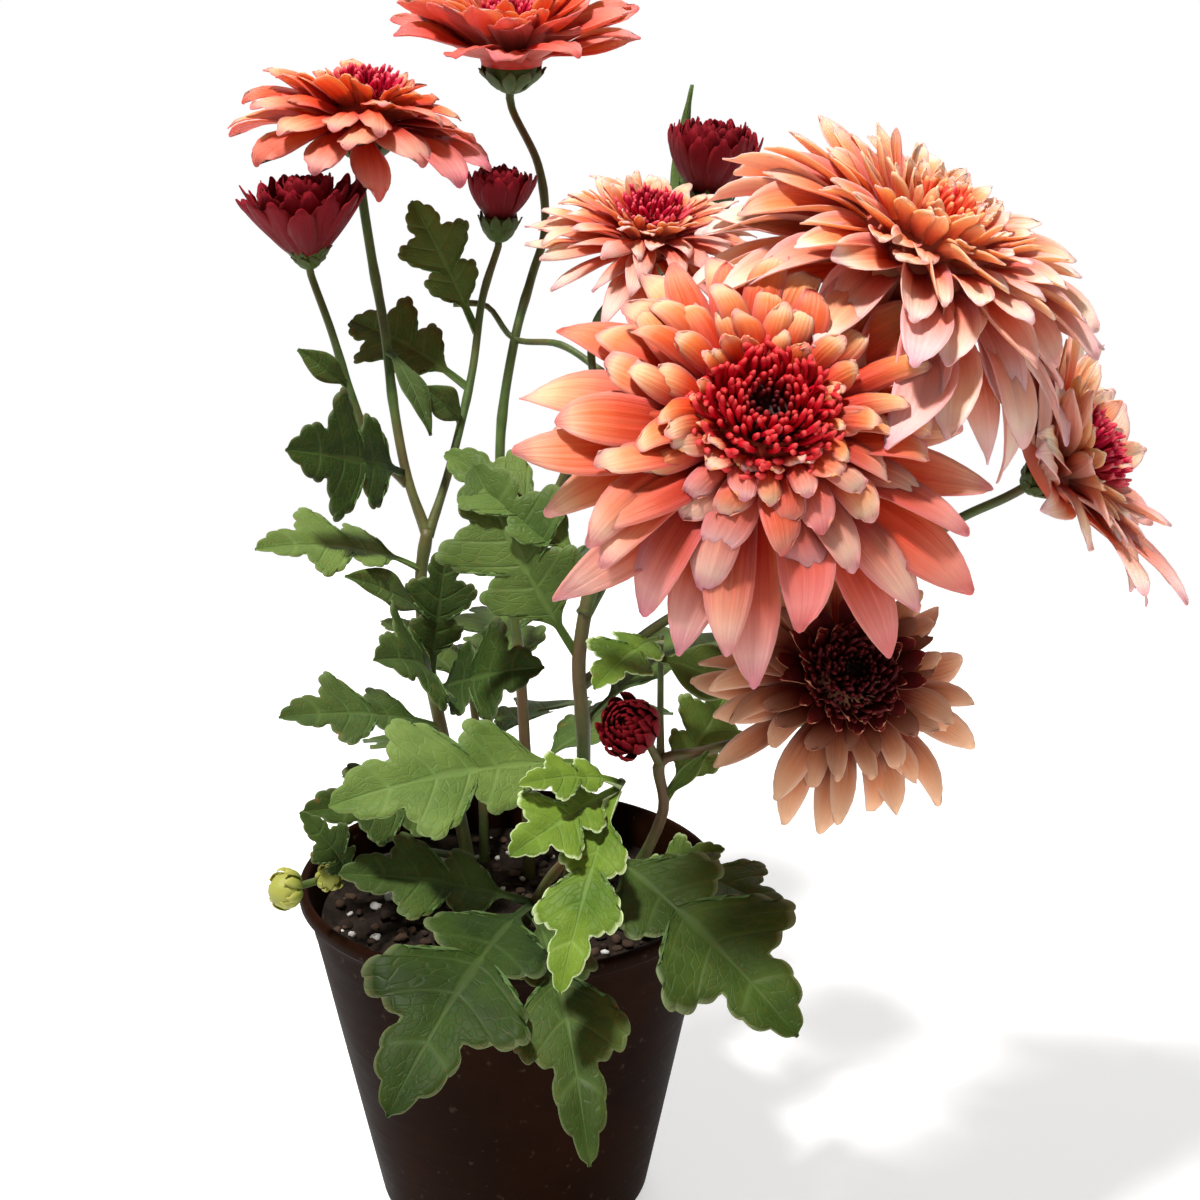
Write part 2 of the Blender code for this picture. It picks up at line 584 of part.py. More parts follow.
def soil(collection, earth):
    """The filling: a turned plug with an uneven crown, and a plain hole for each rooted stem."""
    low = POT_FLOOR + SOIL_GAP
    wall = [(inner_radius(z) - SOIL_GAP, z) for z in (SOIL_LEVEL - 1.0, 60, low)]
    crown = [(r, SOIL_LEVEL) for r in SOIL_RINGS]
    body = turned("soil", [*crown, *wall, (0.0, low)], TURN_STEPS, collection)
    for vertex in body.data.vertices:
        x, y, z = vertex.co / MM
        if z > SOIL_LEVEL - 0.5:
            vertex.co.z += (0.9 * math.sin(0.21 * x + 1.3) + 0.8 * math.sin(0.27 * y + 0.4)) * MM
    for values in STEMS.values():
        route, first_r, _ = values["shoots"][0]
        x, y, z = route[0]
        bpy.ops.mesh.primitive_cylinder_add(
            vertices=HOLE_SIDES, radius=(first_r + HOLE_GAP) * MM, depth=2 * HOLE_DEPTH * MM,
            location=(x * MM, y * MM, (z - SEAT_GAP + HOLE_DEPTH) * MM),
        )
        cutter = bpy.context.object
        cut = body.modifiers.new("hole", "BOOLEAN")
        cut.operation = "DIFFERENCE"
        cut.object = cutter
        body = applied(body)
        bpy.data.objects.remove(cutter)
    body.name = "soil"
    body.data.materials.append(earth)


def main():
    clear_scene()
    plant = bpy.data.collections.new("pot_chrysanthemum")
    bpy.context.scene.collection.children.link(plant)
    green = finish_material("leaf_green", GREEN, 0.5)
    coral = finish_material("petal_coral", CORAL, 0.6)
    crimson = finish_material("petal_crimson", CRIMSON, 0.6)
    pot(plant, finish_material("pot_brown", BROWN, 0.35))
    soil(plant, finish_material("earth", EARTH, 0.95))
    for name, values in STEMS.items():
        leafy_stem(name, values, plant, green)
    for name, values in HEADS.items():
        flower_head(name, values, plant, coral, crimson)
    for name, values in BUDS.items():
        bud(name, values, plant, crimson)


main()
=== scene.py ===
"""Looks of the pot chrysanthemum. Lengths in the tables are millimetres, or shares of a head's radius."""

import math

import bpy
import numpy as np
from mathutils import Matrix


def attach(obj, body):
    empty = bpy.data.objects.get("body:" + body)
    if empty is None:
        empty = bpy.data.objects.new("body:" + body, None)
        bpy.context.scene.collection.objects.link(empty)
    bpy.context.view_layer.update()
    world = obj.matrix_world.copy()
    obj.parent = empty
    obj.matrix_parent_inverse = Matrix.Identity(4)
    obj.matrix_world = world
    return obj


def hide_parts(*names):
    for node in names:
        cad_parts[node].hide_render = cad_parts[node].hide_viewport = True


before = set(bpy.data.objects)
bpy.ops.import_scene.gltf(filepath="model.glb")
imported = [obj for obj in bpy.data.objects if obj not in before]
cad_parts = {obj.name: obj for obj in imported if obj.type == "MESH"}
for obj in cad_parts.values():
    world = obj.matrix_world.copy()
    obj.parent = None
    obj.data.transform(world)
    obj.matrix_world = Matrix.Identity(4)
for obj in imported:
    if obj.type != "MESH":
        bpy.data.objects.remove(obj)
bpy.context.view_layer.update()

MM = 0.001

# Camera and stage, in metres: the camera as solved from the pot's rim and base in the photograph
LENS_MM = 52.35
SENSOR_MM = 36.0
CAMERA_PLACE = (0.0254, -0.4558, 0.3144)
CAMERA_TILT = 73.4  # degrees from looking straight down
FLOOR_R = 0.72
FLOOR_DROP = 0.0004  # below the pot's foot
SKY = ((0.05, 1.0), (0.16, 0.15))  # height of the view's direction, and how white the studio is there
LAMPS_AIM = (0.03, -0.02, 0.2)
# Lamps: place, size, watts, colour
LAMPS = {
    "key": ((-0.42, -0.46, 2.0), 0.20, 64.0, (1.0, 0.99, 0.98)),
    "fill": ((1.1, -1.3, 0.7), 1.2, 2.0, (0.95, 0.97, 1.0)),
    "rim": ((0.3, 1.2, 1.3), 0.9, 9.0, (1.0, 1.0, 1.0)),
}

# Pot and soil: sizes as in the part's source, with the sections of the lip, the rings and the soil
POT_RIM_R = 60.0
POT_BASE_R = 39.5
POT_HEIGHT = 98.0
POT_WALL = 1.6
POT_FLOOR = 2.4
POT_LIP = (58.6, 96.2)  # centre of the rolled lip's section
LIP_HALF = (1.45, 1.75)  # half its width and height
POT_RINGS = (86.0, 82.0)  # heights of the moulded rings
DRAINS = 4
DRAIN_R = 4.0
DRAIN_RING_R = 27.0
SOIL_LEVEL = 87.0
SOIL_R = 54.6
SOIL_SIDE = ((50.2, 62.0), (40.0, 6.0))  # radius and height of the soil inside the pot's wall
SOIL_FOOT = POT_FLOOR + 0.35

# Flower heads: seat, axis, radius, kind, seed, how red they are from 0 to 1, and a gamma of painted
# light and shade on their colour, where 1 is middling, more paints a head darker as shade and less
# paints it paler as light
HEADS = {
    "front": ((60, -77, 237), (0.06, -0.74, 0.67), 50, "open", 17, 0, 1.38),
    "top_right": ((98, -36, 268), (0.38, -0.31, 0.87), 54, "dome", 26, 0, 0.84),
    "low_right": ((84, -54, 172), (0.16, -0.75, 0.64), 36, "low", 13, 0.5, 1),
    "middle": ((38, 12, 271), (0.08, -0.3, 0.95), 33, "flat", 14, 0.12, 0.95),
    "far_right": ((140, -14, 216), (0.77, -0.29, 0.57), 43, "cone", 15, 0.05, 0.88),
    "top_left": ((-42, 60, 300), (0.15, -0.14, 0.98), 37, "broad", 16, 0.22, 1.5),
    "top": ((-1, 89, 319), (0.02, -0.2, 0.98), 38, "young", 17, 0.75, 1.3),
}
# Crimson buds: seat, axis, radius, kind, seed
BUDS = {
    "left": ((-57, 41, 273), (-0.08, -0.1, 0.99), 18, "funnel", 21),
    "inner": ((-4, 64, 276), (0.05, -0.05, 1), 12.5, "cup", 22),
    "back": ((56, 56, 284), (0.1, -0.1, 1), 17, "cup", 23),
    "front": ((35, -48, 158), (-0.35, -0.75, 0.55), 9, "ball", 24),
}

STANDING = 24  # degrees by which petals stand up on a tilted head's upper side, and droop on its lower
DOME_STANDING = 0.45  # share of that on the domed head
WIDEST = 0.62  # how far along it a petal is widest
PETAL_THICK = 0.55
SCALE_THICK = 0.5  # petals of buds, scales and bracts
LEAF_THICK = 0.5
LARGE_R = 45  # heads over this radius get the finer of the grids of stations by columns
PETAL_GRIDS = ((14, 9), (11, 7))

# Ray petals in rows from the outside in: count, root radius, root height, length, slope at the root
# and at the tip in degrees, width, how far the sides bend up, tip width, and how far in the row is
# (0 outermost, 1 next to the quills)
ROWS = {
    "open": (
        (13, 0.16, 0.03, 0.97, 0, -32, 0.25, -0.05, 0.14, 0),
        (14, 0.17, 0.07, 0.87, 9, -30, 0.235, -0.08, 0.18, 0.1),
        (14, 0.18, 0.11, 0.73, 17, -28, 0.215, -0.15, 0.32, 0.3),
        (16, 0.19, 0.15, 0.57, 25, -22, 0.185, -0.22, 0.46, 0.5),
        (17, 0.2, 0.19, 0.43, 34, -14, 0.16, -0.24, 0.52, 0.7),
        (19, 0.21, 0.22, 0.29, 46, -4, 0.125, -0.2, 0.52, 0.88),
        (22, 0.21, 0.24, 0.17, 60, 20, 0.085, -0.1, 0.55, 1),
    ),
    "dome": (
        (13, 0.22, 0.03, 0.86, 2, -60, 0.24, 0.06, 0.16, 0),
        (14, 0.23, 0.07, 0.8, 8, -54, 0.235, 0.14, 0.18, 0.12),
        (15, 0.25, 0.12, 0.7, 14, -46, 0.22, 0.18, 0.26, 0.3),
        (17, 0.27, 0.17, 0.6, 18, -38, 0.19, 0.18, 0.32, 0.5),
        (20, 0.28, 0.21, 0.48, 27, -20, 0.15, 0.14, 0.32, 0.65),
        (24, 0.26, 0.24, 0.37, 37, 2, 0.115, 0.16, 0.3, 0.8),
        (24, 0.22, 0.26, 0.3, 46, 20, 0.095, 0.18, 0.3, 0.9),
        (20, 0.17, 0.27, 0.24, 60, 42, 0.085, 0.2, 0.3, 1),
        (16, 0.12, 0.28, 0.19, 72, 58, 0.075, 0.22, 0.3, 1),
    ),
    "young": (
        (12, 0.15, 0.03, 0.94, 28, 8, 0.33, -0.08, 0.34, 0),
        (12, 0.15, 0.07, 0.88, 38, 18, 0.32, 0.1, 0.36, 0.2),
        (11, 0.15, 0.11, 0.77, 42, 20, 0.27, 0.14, 0.38, 0.45),
        (11, 0.14, 0.15, 0.62, 50, 32, 0.22, 0.18, 0.4, 0.7),
        (11, 0.12, 0.18, 0.45, 60, 48, 0.17, 0.22, 0.4, 0.95),
    ),
    "broad": (
        (11, 0.15, 0.03, 0.9, 6, -36, 0.34, -0.12, 0.36, 0),
        (11, 0.16, 0.08, 0.8, 18, -24, 0.32, -0.14, 0.38, 0.25),
        (11, 0.17, 0.13, 0.64, 30, -10, 0.27, -0.16, 0.42, 0.5),
        (11, 0.17, 0.17, 0.48, 44, 8, 0.22, -0.1, 0.46, 0.75),
        (13, 0.17, 0.21, 0.31, 58, 34, 0.15, 0, 0.5, 0.95),
    ),
    "cone": (
        (13, 0.15, 0.03, 0.95, 26, 2, 0.24, -0.08, 0.2, 0),
        (14, 0.15, 0.07, 0.88, 32, 10, 0.22, -0.1, 0.22, 0.2),
        (15, 0.16, 0.11, 0.68, 38, 18, 0.185, 0.12, 0.28, 0.45),
        (16, 0.17, 0.15, 0.5, 44, 28, 0.145, 0.16, 0.32, 0.7),
        (18, 0.18, 0.19, 0.34, 50, 38, 0.105, 0.18, 0.34, 0.9),
    ),
    "flat": (
        (13, 0.15, 0.03, 0.93, 4, -26, 0.215, -0.08, 0.14, 0),
        (14, 0.16, 0.07, 0.85, 14, -18, 0.2, -0.1, 0.16, 0.2),
        (16, 0.17, 0.11, 0.72, 24, -8, 0.175, -0.12, 0.24, 0.45),
        (16, 0.18, 0.15, 0.57, 34, 4, 0.15, -0.1, 0.3, 0.65),
        (17, 0.19, 0.19, 0.42, 46, 20, 0.12, -0.06, 0.34, 0.85),
        (18, 0.19, 0.22, 0.28, 58, 40, 0.09, 0, 0.34, 1),
    ),
    "low": (
        (13, 0.15, 0.03, 0.91, 2, -30, 0.215, -0.1, 0.2, 0),
        (14, 0.16, 0.07, 0.82, 10, -26, 0.195, -0.14, 0.26, 0.2),
        (16, 0.18, 0.11, 0.66, 18, -20, 0.165, -0.18, 0.4, 0.4),
        (16, 0.2, 0.15, 0.47, 28, -10, 0.145, -0.18, 0.46, 0.62),
        (18, 0.21, 0.18, 0.32, 40, 6, 0.115, -0.12, 0.46, 0.85),
        (20, 0.21, 0.21, 0.2, 54, 30, 0.085, -0.05, 0.46, 1),
    ),
    "cup": (
        (13, 0.24, 0.03, 1.12, 42, 84, 0.4, 0.1, 0.46, 0),
        (13, 0.24, 0.08, 1.08, 48, 86, 0.39, 0.12, 0.46, 0.2),
        (12, 0.22, 0.16, 1, 54, 88, 0.36, 0.14, 0.46, 0.4),
        (12, 0.18, 0.24, 0.92, 60, 90, 0.32, 0.16, 0.46, 0.6),
        (11, 0.13, 0.3, 0.84, 68, 92, 0.28, 0.18, 0.46, 0.8),
        (9, 0.07, 0.34, 0.8, 78, 94, 0.24, 0.2, 0.46, 1),
    ),
    "funnel": (
        (13, 0.15, -0.36, 1.36, 46, 58, 0.46, 0.1, 0.5, 0),
        (13, 0.15, -0.24, 1.22, 50, 66, 0.44, 0.12, 0.5, 0.2),
        (12, 0.14, -0.04, 0.98, 56, 74, 0.4, 0.14, 0.5, 0.4),
        (11, 0.12, 0.1, 0.82, 64, 80, 0.34, 0.16, 0.5, 0.6),
        (9, 0.08, 0.2, 0.7, 72, 86, 0.28, 0.18, 0.5, 0.8),
        (6, 0.04, 0.28, 0.6, 80, 90, 0.24, 0.2, 0.5, 1),
    ),
    "ball": (
        (12, 0.3, 0.08, 1.38, 30, 116, 0.4, 0.1, 0.4, 0),
        (12, 0.3, 0.26, 1.22, 40, 118, 0.36, 0.1, 0.4, 0.3),
        (11, 0.28, 0.46, 1.02, 48, 120, 0.32, 0.1, 0.4, 0.6),
        (9, 0.24, 0.66, 0.8, 58, 124, 0.28, 0.1, 0.4, 0.8),
        (7, 0.16, 0.86, 0.58, 66, 126, 0.22, 0.1, 0.4, 1),
    ),
    "head_bracts": (
        (11, 0.1, -0.19, 0.25, 34, 70, 0.115, -0.1, 0.24, 0),
        (10, 0.06, -0.21, 0.18, 28, 62, 0.1, -0.1, 0.24, 0.5),
    ),
    "bud_bracts": (
        (11, 0.19, -0.47, 0.64, 46, 84, 0.26, -0.1, 0.24, 0),
        (10, 0.12, -0.53, 0.46, 38, 76, 0.25, -0.1, 0.24, 0.5),
    ),
    "scales": (
        (9, 0.15, -0.1, 1.75, 10, 125, 0.6, 0.1, 0.3, 0),
        (8, 0.15, -0.06, 1.35, 5, 105, 0.55, 0.1, 0.3, 0.5),
    ),
    "small_bracts": (
        (9, 0.05, -0.105, 0.13, 34, 62, 0.07, -0.1, 0.24, 0),
        (8, 0.04, -0.115, 0.09, 30, 58, 0.06, -0.1, 0.24, 0.5),
    ),
    "funnel_bracts": (
        (10, 0.12, -0.46, 0.4, 46, 60, 0.2, -0.1, 0.24, 0),
        (9, 0.09, -0.5, 0.28, 40, 56, 0.18, -0.1, 0.24, 0.5),
    ),
}
# Green cups under the heads and buds: rim radius, height, bracts
CUPS = {
    "head": (0.2, 0.22, "head_bracts"),
    "cone": (0.1, 0.13, "small_bracts"),
    "cup": (0.42, 0.55, "bud_bracts"),
    "ball": (0.42, 0.55, "bud_bracts"),
    "funnel": (0.3, 0.52, "funnel_bracts"),
}
# Turned bodies that the petals grow from, as radius and height
CORES = {
    "open": ((0.01, 0.28), (0.19, 0.28), (0.26, 0.09), (0.24, 0), (0.01, 0)),
    "dome": ((0.01, 0.32), (0.2, 0.32), (0.37, 0.19), (0.35, 0.02), (0.22, 0), (0.01, 0)),
    "cup": ((0.01, 0.75), (0.4, 0.66), (0.52, 0.34), (0.34, 0), (0.01, 0)),
    "ball": ((0.01, 1.15), (0.45, 0.98), (0.72, 0.6), (0.42, 0), (0.01, 0)),
    "funnel": ((0.01, 0.72), (0.3, 0.62), (0.4, 0.3), (0.22, -0.1), (0.01, -0.2)),
    "scales": (
        (0.01, 1.45), (0.35, 1.4), (0.75, 1.05), (0.92, 0.65), (0.75, 0.2), (0.3, -0.1), (0.01, -0.15),
    ),
}
BUTTON = ((0.01, 0.02), (0.05, 0.03), (0.1, 0.04), (0.15, 0.02), (0.16, 0), (0.01, 0))  # under quills
SEAT_GAP = 0.3  # between a cup, its head and the head's centre
QUILL_R = 0.0125  # of the outermost quills
# Rings of centre quills: count, foot radius, foot height over the core, length, lean at foot and tip
QUILLS = {
    "open": (
        (38, 0.235, -0.06, 0.135, 8, 66), (38, 0.215, -0.03, 0.14, 26, 72),
        (36, 0.19, 0, 0.14, 42, 78), (32, 0.165, 0.02, 0.135, 54, 84),
        (28, 0.14, 0.03, 0.125, 62, 92), (24, 0.115, 0.03, 0.115, 70, 98),
        (19, 0.09, 0.02, 0.1, 76, 102), (14, 0.064, 0.01, 0.07, 82, 104),
        (8, 0.036, 0, 0.045, 86, 100),
    ),
    "small": (
        (28, 0.175, 0, 0.16, 30, 60), (24, 0.145, 0.03, 0.165, 46, 70),
        (20, 0.112, 0.05, 0.16, 60, 80), (15, 0.08, 0.06, 0.145, 72, 88),
        (9, 0.046, 0.06, 0.13, 80, 94),
    ),
    "apex": (
        (16, 0.105, 0, 0.12, 54, 74), (13, 0.082, 0.01, 0.125, 64, 80),
        (10, 0.056, 0.02, 0.125, 74, 86), (6, 0.028, 0.02, 0.12, 82, 92),
    ),
}

# Colours of the quills: root, body, mouth, hollow. The shaded set is a much darker copy of the
# crimson one: painted shade for the low head, which lies in the shadow of the heads above
QUILL_COLOURS = {
    "crimson": ((0.2, 0.001, 0.004), (0.48, 0.003, 0.012), (0.72, 0.07, 0.065), (0.016, 0.0008, 0.0015)),
    "rose": ((0.26, 0.002, 0.012), (0.52, 0.008, 0.045), (0.8, 0.12, 0.14), (0.3, 0.005, 0.016)),
    "orange": ((0.56, 0.035, 0.015), (0.8, 0.11, 0.045), (0.92, 0.4, 0.17), (0.74, 0.035, 0.045)),
    "shaded": ((0.016, 0.001, 0.001), (0.045, 0.0015, 0.003), (0.13, 0.01, 0.01), (0.006, 0.001, 0.001)),
}

# Half outlines of a lobed leaf, with its lobes' tips and bays, and of a plain one, as shares of the
# length and of the half width
LOBED = (
    (0, 0), (0.09, 0), (0.17, 0.05), (0.23, 0.18), (0.285, 0.4), (0.33, 0.58), (0.38, 0.71),
    (0.43, 0.75), (0.465, 0.68), (0.484, 0.54), (0.494, 0.42), (0.512, 0.41), (0.535, 0.53), (0.575, 0.73),
    (0.625, 0.88), (0.675, 0.98), (0.712, 1), (0.736, 0.9), (0.75, 0.7), (0.76, 0.48), (0.78, 0.39),
    (0.815, 0.43), (0.855, 0.45), (0.89, 0.4), (0.92, 0.32), (0.955, 0.21), (0.982, 0.1), (1, 0),
)
PLAIN = (
    (0, 0), (0.08, 0.05), (0.2, 0.42), (0.4, 0.86), (0.6, 0.98), (0.8, 0.62), (0.93, 0.26), (1, 0),
)
PETIOLE = 1  # half width of a leaf stalk
RING_GAP = 2.5  # between the rings of a shoot
SHOOT_SIDES = 12
SLIMMER = 0.82  # shoots beside the radii in STEMS, which the solids have
VEINS = (0.27, 0.4, 0.6, 0.71, 0.86)  # where along the margin the side veins end
TEETH = 15  # half waves of teeth on a lobed margin
MARGIN_ASPECT = 0.36  # half width over length of the leaf whose margin is walked in even steps
LEAF_GRIDS = {"lobed": (121, 9), "plain": (30, 7)}  # stations along the margin, columns across

# Stems, as in the part's source, and one small leaf more, the last lobed one on the left. A shoot is a
# route, the head or bud at its end if it bears one, and its radius at the foot and the tip. A leaf is:
# foot, tip, facing, width, bow, lightness, youth. Lightness is partly the leaf's own green, from dark
# to sage, and partly painted shade, lowest on the leaves over the rim in the heads' shadow
STEMS = {
    "left": {
        "shoots": (
            (((-12, 10, 78.5), (-12, 10, 90), (-18, 12, 125), (-24, 18, 155), (-26, 25, 176),
              (-24, 29, 191)), 2.5, 2.1),
            (((-24, 29, 189), (-30, 35, 205), (-34, 42, 224), (-37, 51, 245), (-41, 58, 266),
              "head top_left"), 1.7, 1.7),
            (((-24, 29, 189), (-18, 38, 207), (-12, 50, 232), (-9, 58, 253), "bud inner"), 1.6, 1.3),
            (((-30, 35, 203), (-39, 32, 214), (-45, 33, 230), (-50, 35, 247), "bud left"), 1.5, 1.3),
            (((-13, 10, 97), (-27, -9, 108), (-41, -30, 112), (-53, -46, 115)), 1.3, 1.2),
        ),
        "lobed": (
            ((-30, 34, 206), (-58, 1, 220), (0.55, -0.75, 0.35), 36, 4, 0.1, 0),
            ((-28, 26, 180), (-67, -3, 194), (0, -0.5, 0.85), 26, 4, 0.9, 0),
            ((-24, 17, 150), (-17, 14, 191), (0.1, -0.97, 0.2), 20, 3, 0.2, 0),
            ((-22, 15, 146), (-33, -25, 170), (0.1, -0.75, 0.65), 34, 6, 0.25, 0),
            ((-22, 15, 146), (10, -11, 163), (0, -0.8, 0.6), 30, 4, 0.2, 0),
            ((-20, 13, 137), (-61, -14, 150), (0, -0.5, 0.86), 26, 4, 0.3, 0),
            ((-15, 11, 108), (-53, -29, 129), (-0.2, -0.7, 0.65), 26, 4, 0.3, 0),
            ((-12, 50, 228), (-50, 73, 245), (0.1, -0.85, 0.5), 26, 3, 0.5, 0),
            ((-10, 56, 243), (-29, 60, 281), (0.2, -0.95, 0.2), 22, 2, 0.5, 0.1),
            ((-14, 10, 112), (-52, 36, 112), (-0.2, 0.1, 0.95), 28, 5, 0.4, 0),
            ((-43, -33, 112), (-51, -44, 135), (0.5, -0.8, 0.2), 13, 7, 0.15, 0),
        ),
        "plain": (
            ((-25, 22, 168), (-43, -2, 186), (0.2, -0.7, 0.7), 12, 2, 0.4, 0),
            ((-36, 47, 240), (-22, 27, 219), (0.5, -0.7, 0.5), 8, 3, 0.3, 0),
            ((-46, 33, 232), (-58, 26, 243), (-0.2, -0.8, 0.5), 8, 2, 0.3, 0),
            ((-15, 44, 219), (-25, 36, 231), (0, -0.8, 0.5), 10, 2, 0.4, 0),
        ),
    },
    "back": {
        "shoots": (
            (((4, 24, 78.5), (4, 24, 90), (3, 30, 125), (1, 34, 156), (-3, 42, 181), (-4, 52, 213),
              (0, 61, 240), (5, 69, 258), (9, 75, 272), (7, 80, 290), "head top"), 2.2, 1.4),
            (((-2, 41, 178), (12, 46, 197), (24, 52, 225), (44, 56, 257), "bud back"), 1.5, 1.3),
            (((-18, 64, 251), (-8, 65, 250), (0, 61, 241), (14, 49, 241), (26, 38, 235)), 1, 1.3),
        ),
        "lobed": (
            ((1, 36, 160), (42, 62, 182), (0.2, 0.5, 0.8), 32, 6, 0.5, 0),
            ((2, 32, 140), (-10, 82, 152), (-0.1, 0.2, 0.95), 34, 6, 0.5, 0),
            ((14, 46, 200), (50, 78, 212), (0, 0.4, 0.9), 28, 5, 0.6, 0),
            ((3, 28, 115), (48, 54, 126), (0.2, 0.2, 0.95), 32, 6, 0.4, 0),
        ),
        "plain": (((50, 56, 262), (52, 71, 313), (-0.2, 0.95, 0), 5, 7, 0.5, 0),),
    },
    "right": {
        "shoots": (
            (((16, 2, 78.5), (16, 2, 90), (20, -9, 118), (21, -18, 145), (20, -19, 170), (26, -19, 193),
              (42, -31, 203), (57, -50, 215), "head front"), 2.5, 2),
            (((21, -19, 180), (38, -4, 203), (64, -4, 224), (84, -22, 243), "head top_right"), 2, 1.8),
            (((20, -18, 160), (48, 4, 174), (80, 5, 182), (105, 0, 191), (121, -6, 203),
              "head far_right"), 1.7, 1.5),
            (((25, -18, 190), (27, 2, 218), (23, 20, 243), (27, 22, 255), "head middle"), 1.5, 1.3),
        ),
        "lobed": (
            ((21, -19, 168), (-8, -4, 217), (-0.1, -0.9, 0.4), 38, 5, 0.55, 0),
            ((25, -18, 190), (-16, 4, 219), (-0.1, -0.6, 0.8), 24, 4, 0.85, 0),
            ((20, -16, 138), (-43, -49, 139), (0, -0.72, 0.7), 36, 6, 1, 0),
            ((20, -12, 150), (66, 18, 162), (0.2, 0.3, 0.93), 32, 6, 0.4, 0),
            ((50, -4, 212), (78, 34, 222), (0.1, 0.5, 0.85), 28, 5, 0.5, 0),
        ),
        "plain": (((82, 5, 182), (104, -27, 192), (0.2, -0.5, 0.8), 14, 3, 0.6, 0),),
    },
    "low": {
        "shoots": (
            (((27, -14, 78.5), (27, -14, 90), (36, -26, 112), (42, -35, 132), (41, -37, 146),
              (52, -37, 149), (68, -33, 152), (77, -36, 157), "head low_right"), 2, 1.5),
            (((41, -37, 145), "bud front"), 1.2, 1.2),
            (((41, -37, 145), (41, -32, 160), (41, -30, 178)), 1.1, 1),
        ),
        "lobed": (
            ((36, -26, 111), (73, -57, 112), (0.1, -0.4, 0.9), 22, 4, 0.3, 0),
            ((30, -18, 98), (59, -22, 115), (-0.1, -0.5, 0.85), 16, 3, 0.6, 0.4),
            ((41, -30, 177), (24, -53, 172), (-0.2, -0.7, 0.7), 20, 4, 0.8, 0.9),
            ((42, -35, 134), (60, -14, 158), (0.3, -0.8, 0.5), 22, 3, 0.5, 0.3),
        ),
        "plain": (
            ((41, -31, 172), (62, -33, 164), (0.2, -0.8, 0.6), 16, 2, 0.4, 0.2),
            ((42, -35, 136), (53, -40, 150), (0.3, -0.8, 0.5), 4, 1, 0.4, 0.2),
        ),
    },
    "young": {
        "shoots": (
            (((4, -24, 78.5), (4, -24, 90), (10, -33, 108), (20, -43, 126), (31, -52, 147)), 1.9, 1.2),
        ),
        "lobed": (
            ((31, -52, 146), (6, -66, 152), (0, -0.6, 0.8), 14, 3, 0.9, 1),
            ((30, -51, 144), (4, -76, 138), (0.1, -0.6, 0.8), 22, 3, 0.8, 1),
            ((30, -51, 144), (16, -95, 112), (-0.2, -0.8, 0.55), 22, 5, 0.9, 1),
            # these three leaves hang over the rim in the heads' shadow, and their low lightness is painted
            # shade
            ((22, -44, 128), (72, -92, 99), (0.2, -0.65, 0.7), 42, 6, 0.04, 0.14),
            ((8, -30, 103), (-24, -102, 84), (0, -0.62, 0.78), 44, 13, 0.02, 0.03),
            ((7, -29, 98), (23, -104, 72), (0.1, -0.6, 0.8), 28, 16, 0.3, 0),
            ((8, -30, 103), (-41, -50, 121), (0, -0.6, 0.8), 26, 3, 0.3, 0),
        ),
    },
    "low_back": {
        "shoots": ((((-10, 34, 78.5), (-10, 34, 90), (-11, 42, 112), (-14, 50, 134)), 2, 1.4),),
        "lobed": (
            ((-11, 40, 106), (-50, 66, 112), (-0.2, 0.3, 0.93), 30, 5, 0.4, 0),
            ((-12, 44, 116), (22, 84, 118), (0.1, 0.4, 0.9), 30, 5, 0.5, 0),
            ((-14, 49, 132), (-44, 74, 150), (-0.2, 0.2, 0.95), 24, 4, 0.6, 0.1),
            ((-14, 49, 132), (-16, 90, 136), (0, 0.3, 0.95), 24, 4, 0.5, 0.1),
        ),
    },
}
# Yellow-green buds at the rim: seat, axis, radius
GREEN_BUDS = (((-53, -46, 114), (-0.7, -0.6, 0.3), 5.2), ((-46, -39, 114), (0.3, -0.8, 0.5), 3.4))


# Shapes as whole arrays


def unit(vectors):
    """Vectors divided by their lengths."""
    return vectors / np.maximum(np.linalg.norm(vectors, axis=-1, keepdims=True), 1e-12)


def quads(index):
    """Faces of a grid of vertex numbers, facing along (down the rows) x (along the columns)."""
    corners = (index[..., :-1, :-1], index[..., 1:, :-1], index[..., 1:, 1:], index[..., :-1, 1:])
    return np.stack(corners, -1).reshape(-1, 4)


def cap(ring):
    """A ring with an even number of corners, filled with a ladder of four-sided faces."""
    half = ring.shape[-1] // 2
    rungs = np.arange(half - 1)
    corners = (ring[..., rungs], ring[..., rungs + 1], ring[..., -2 - rungs], ring[..., -1 - rungs])
    return np.stack(corners, -1).reshape(-1, 4)


def blades(top, thick, **marks):
    """Thin closed bodies. The underside is the top surface moved back along its normals by thick, and
    a band round the rim joins the two. top is (blades, rows, columns, 3)."""
    normal = unit(np.cross(np.gradient(top, axis=1), np.gradient(top, axis=2)))
    under = top - normal * np.broadcast_to(thick, top.shape[:3])[..., None]
    index = np.arange(top[..., 0].size).reshape(top.shape[:3])
    ring = np.concatenate(
        [index[:, :-1, 0], index[:, -1, :-1], index[:, :0:-1, -1], index[:, 0, :0:-1]], axis=1
    )
    after = np.roll(ring, -1, axis=1)
    below = index.size
    faces = np.concatenate([
        quads(index),
        quads(index)[:, ::-1] + below,
        np.stack([after, ring, ring + below, after + below], -1).reshape(-1, 4),
    ])
    marks = {key: np.tile(np.broadcast_to(value, index.shape).ravel(), 2) for key, value in marks.items()}
    marks["under"] = np.repeat([0.0, 1.0], below)
    return np.concatenate([top.reshape(-1, 3), under.reshape(-1, 3)]), faces, marks


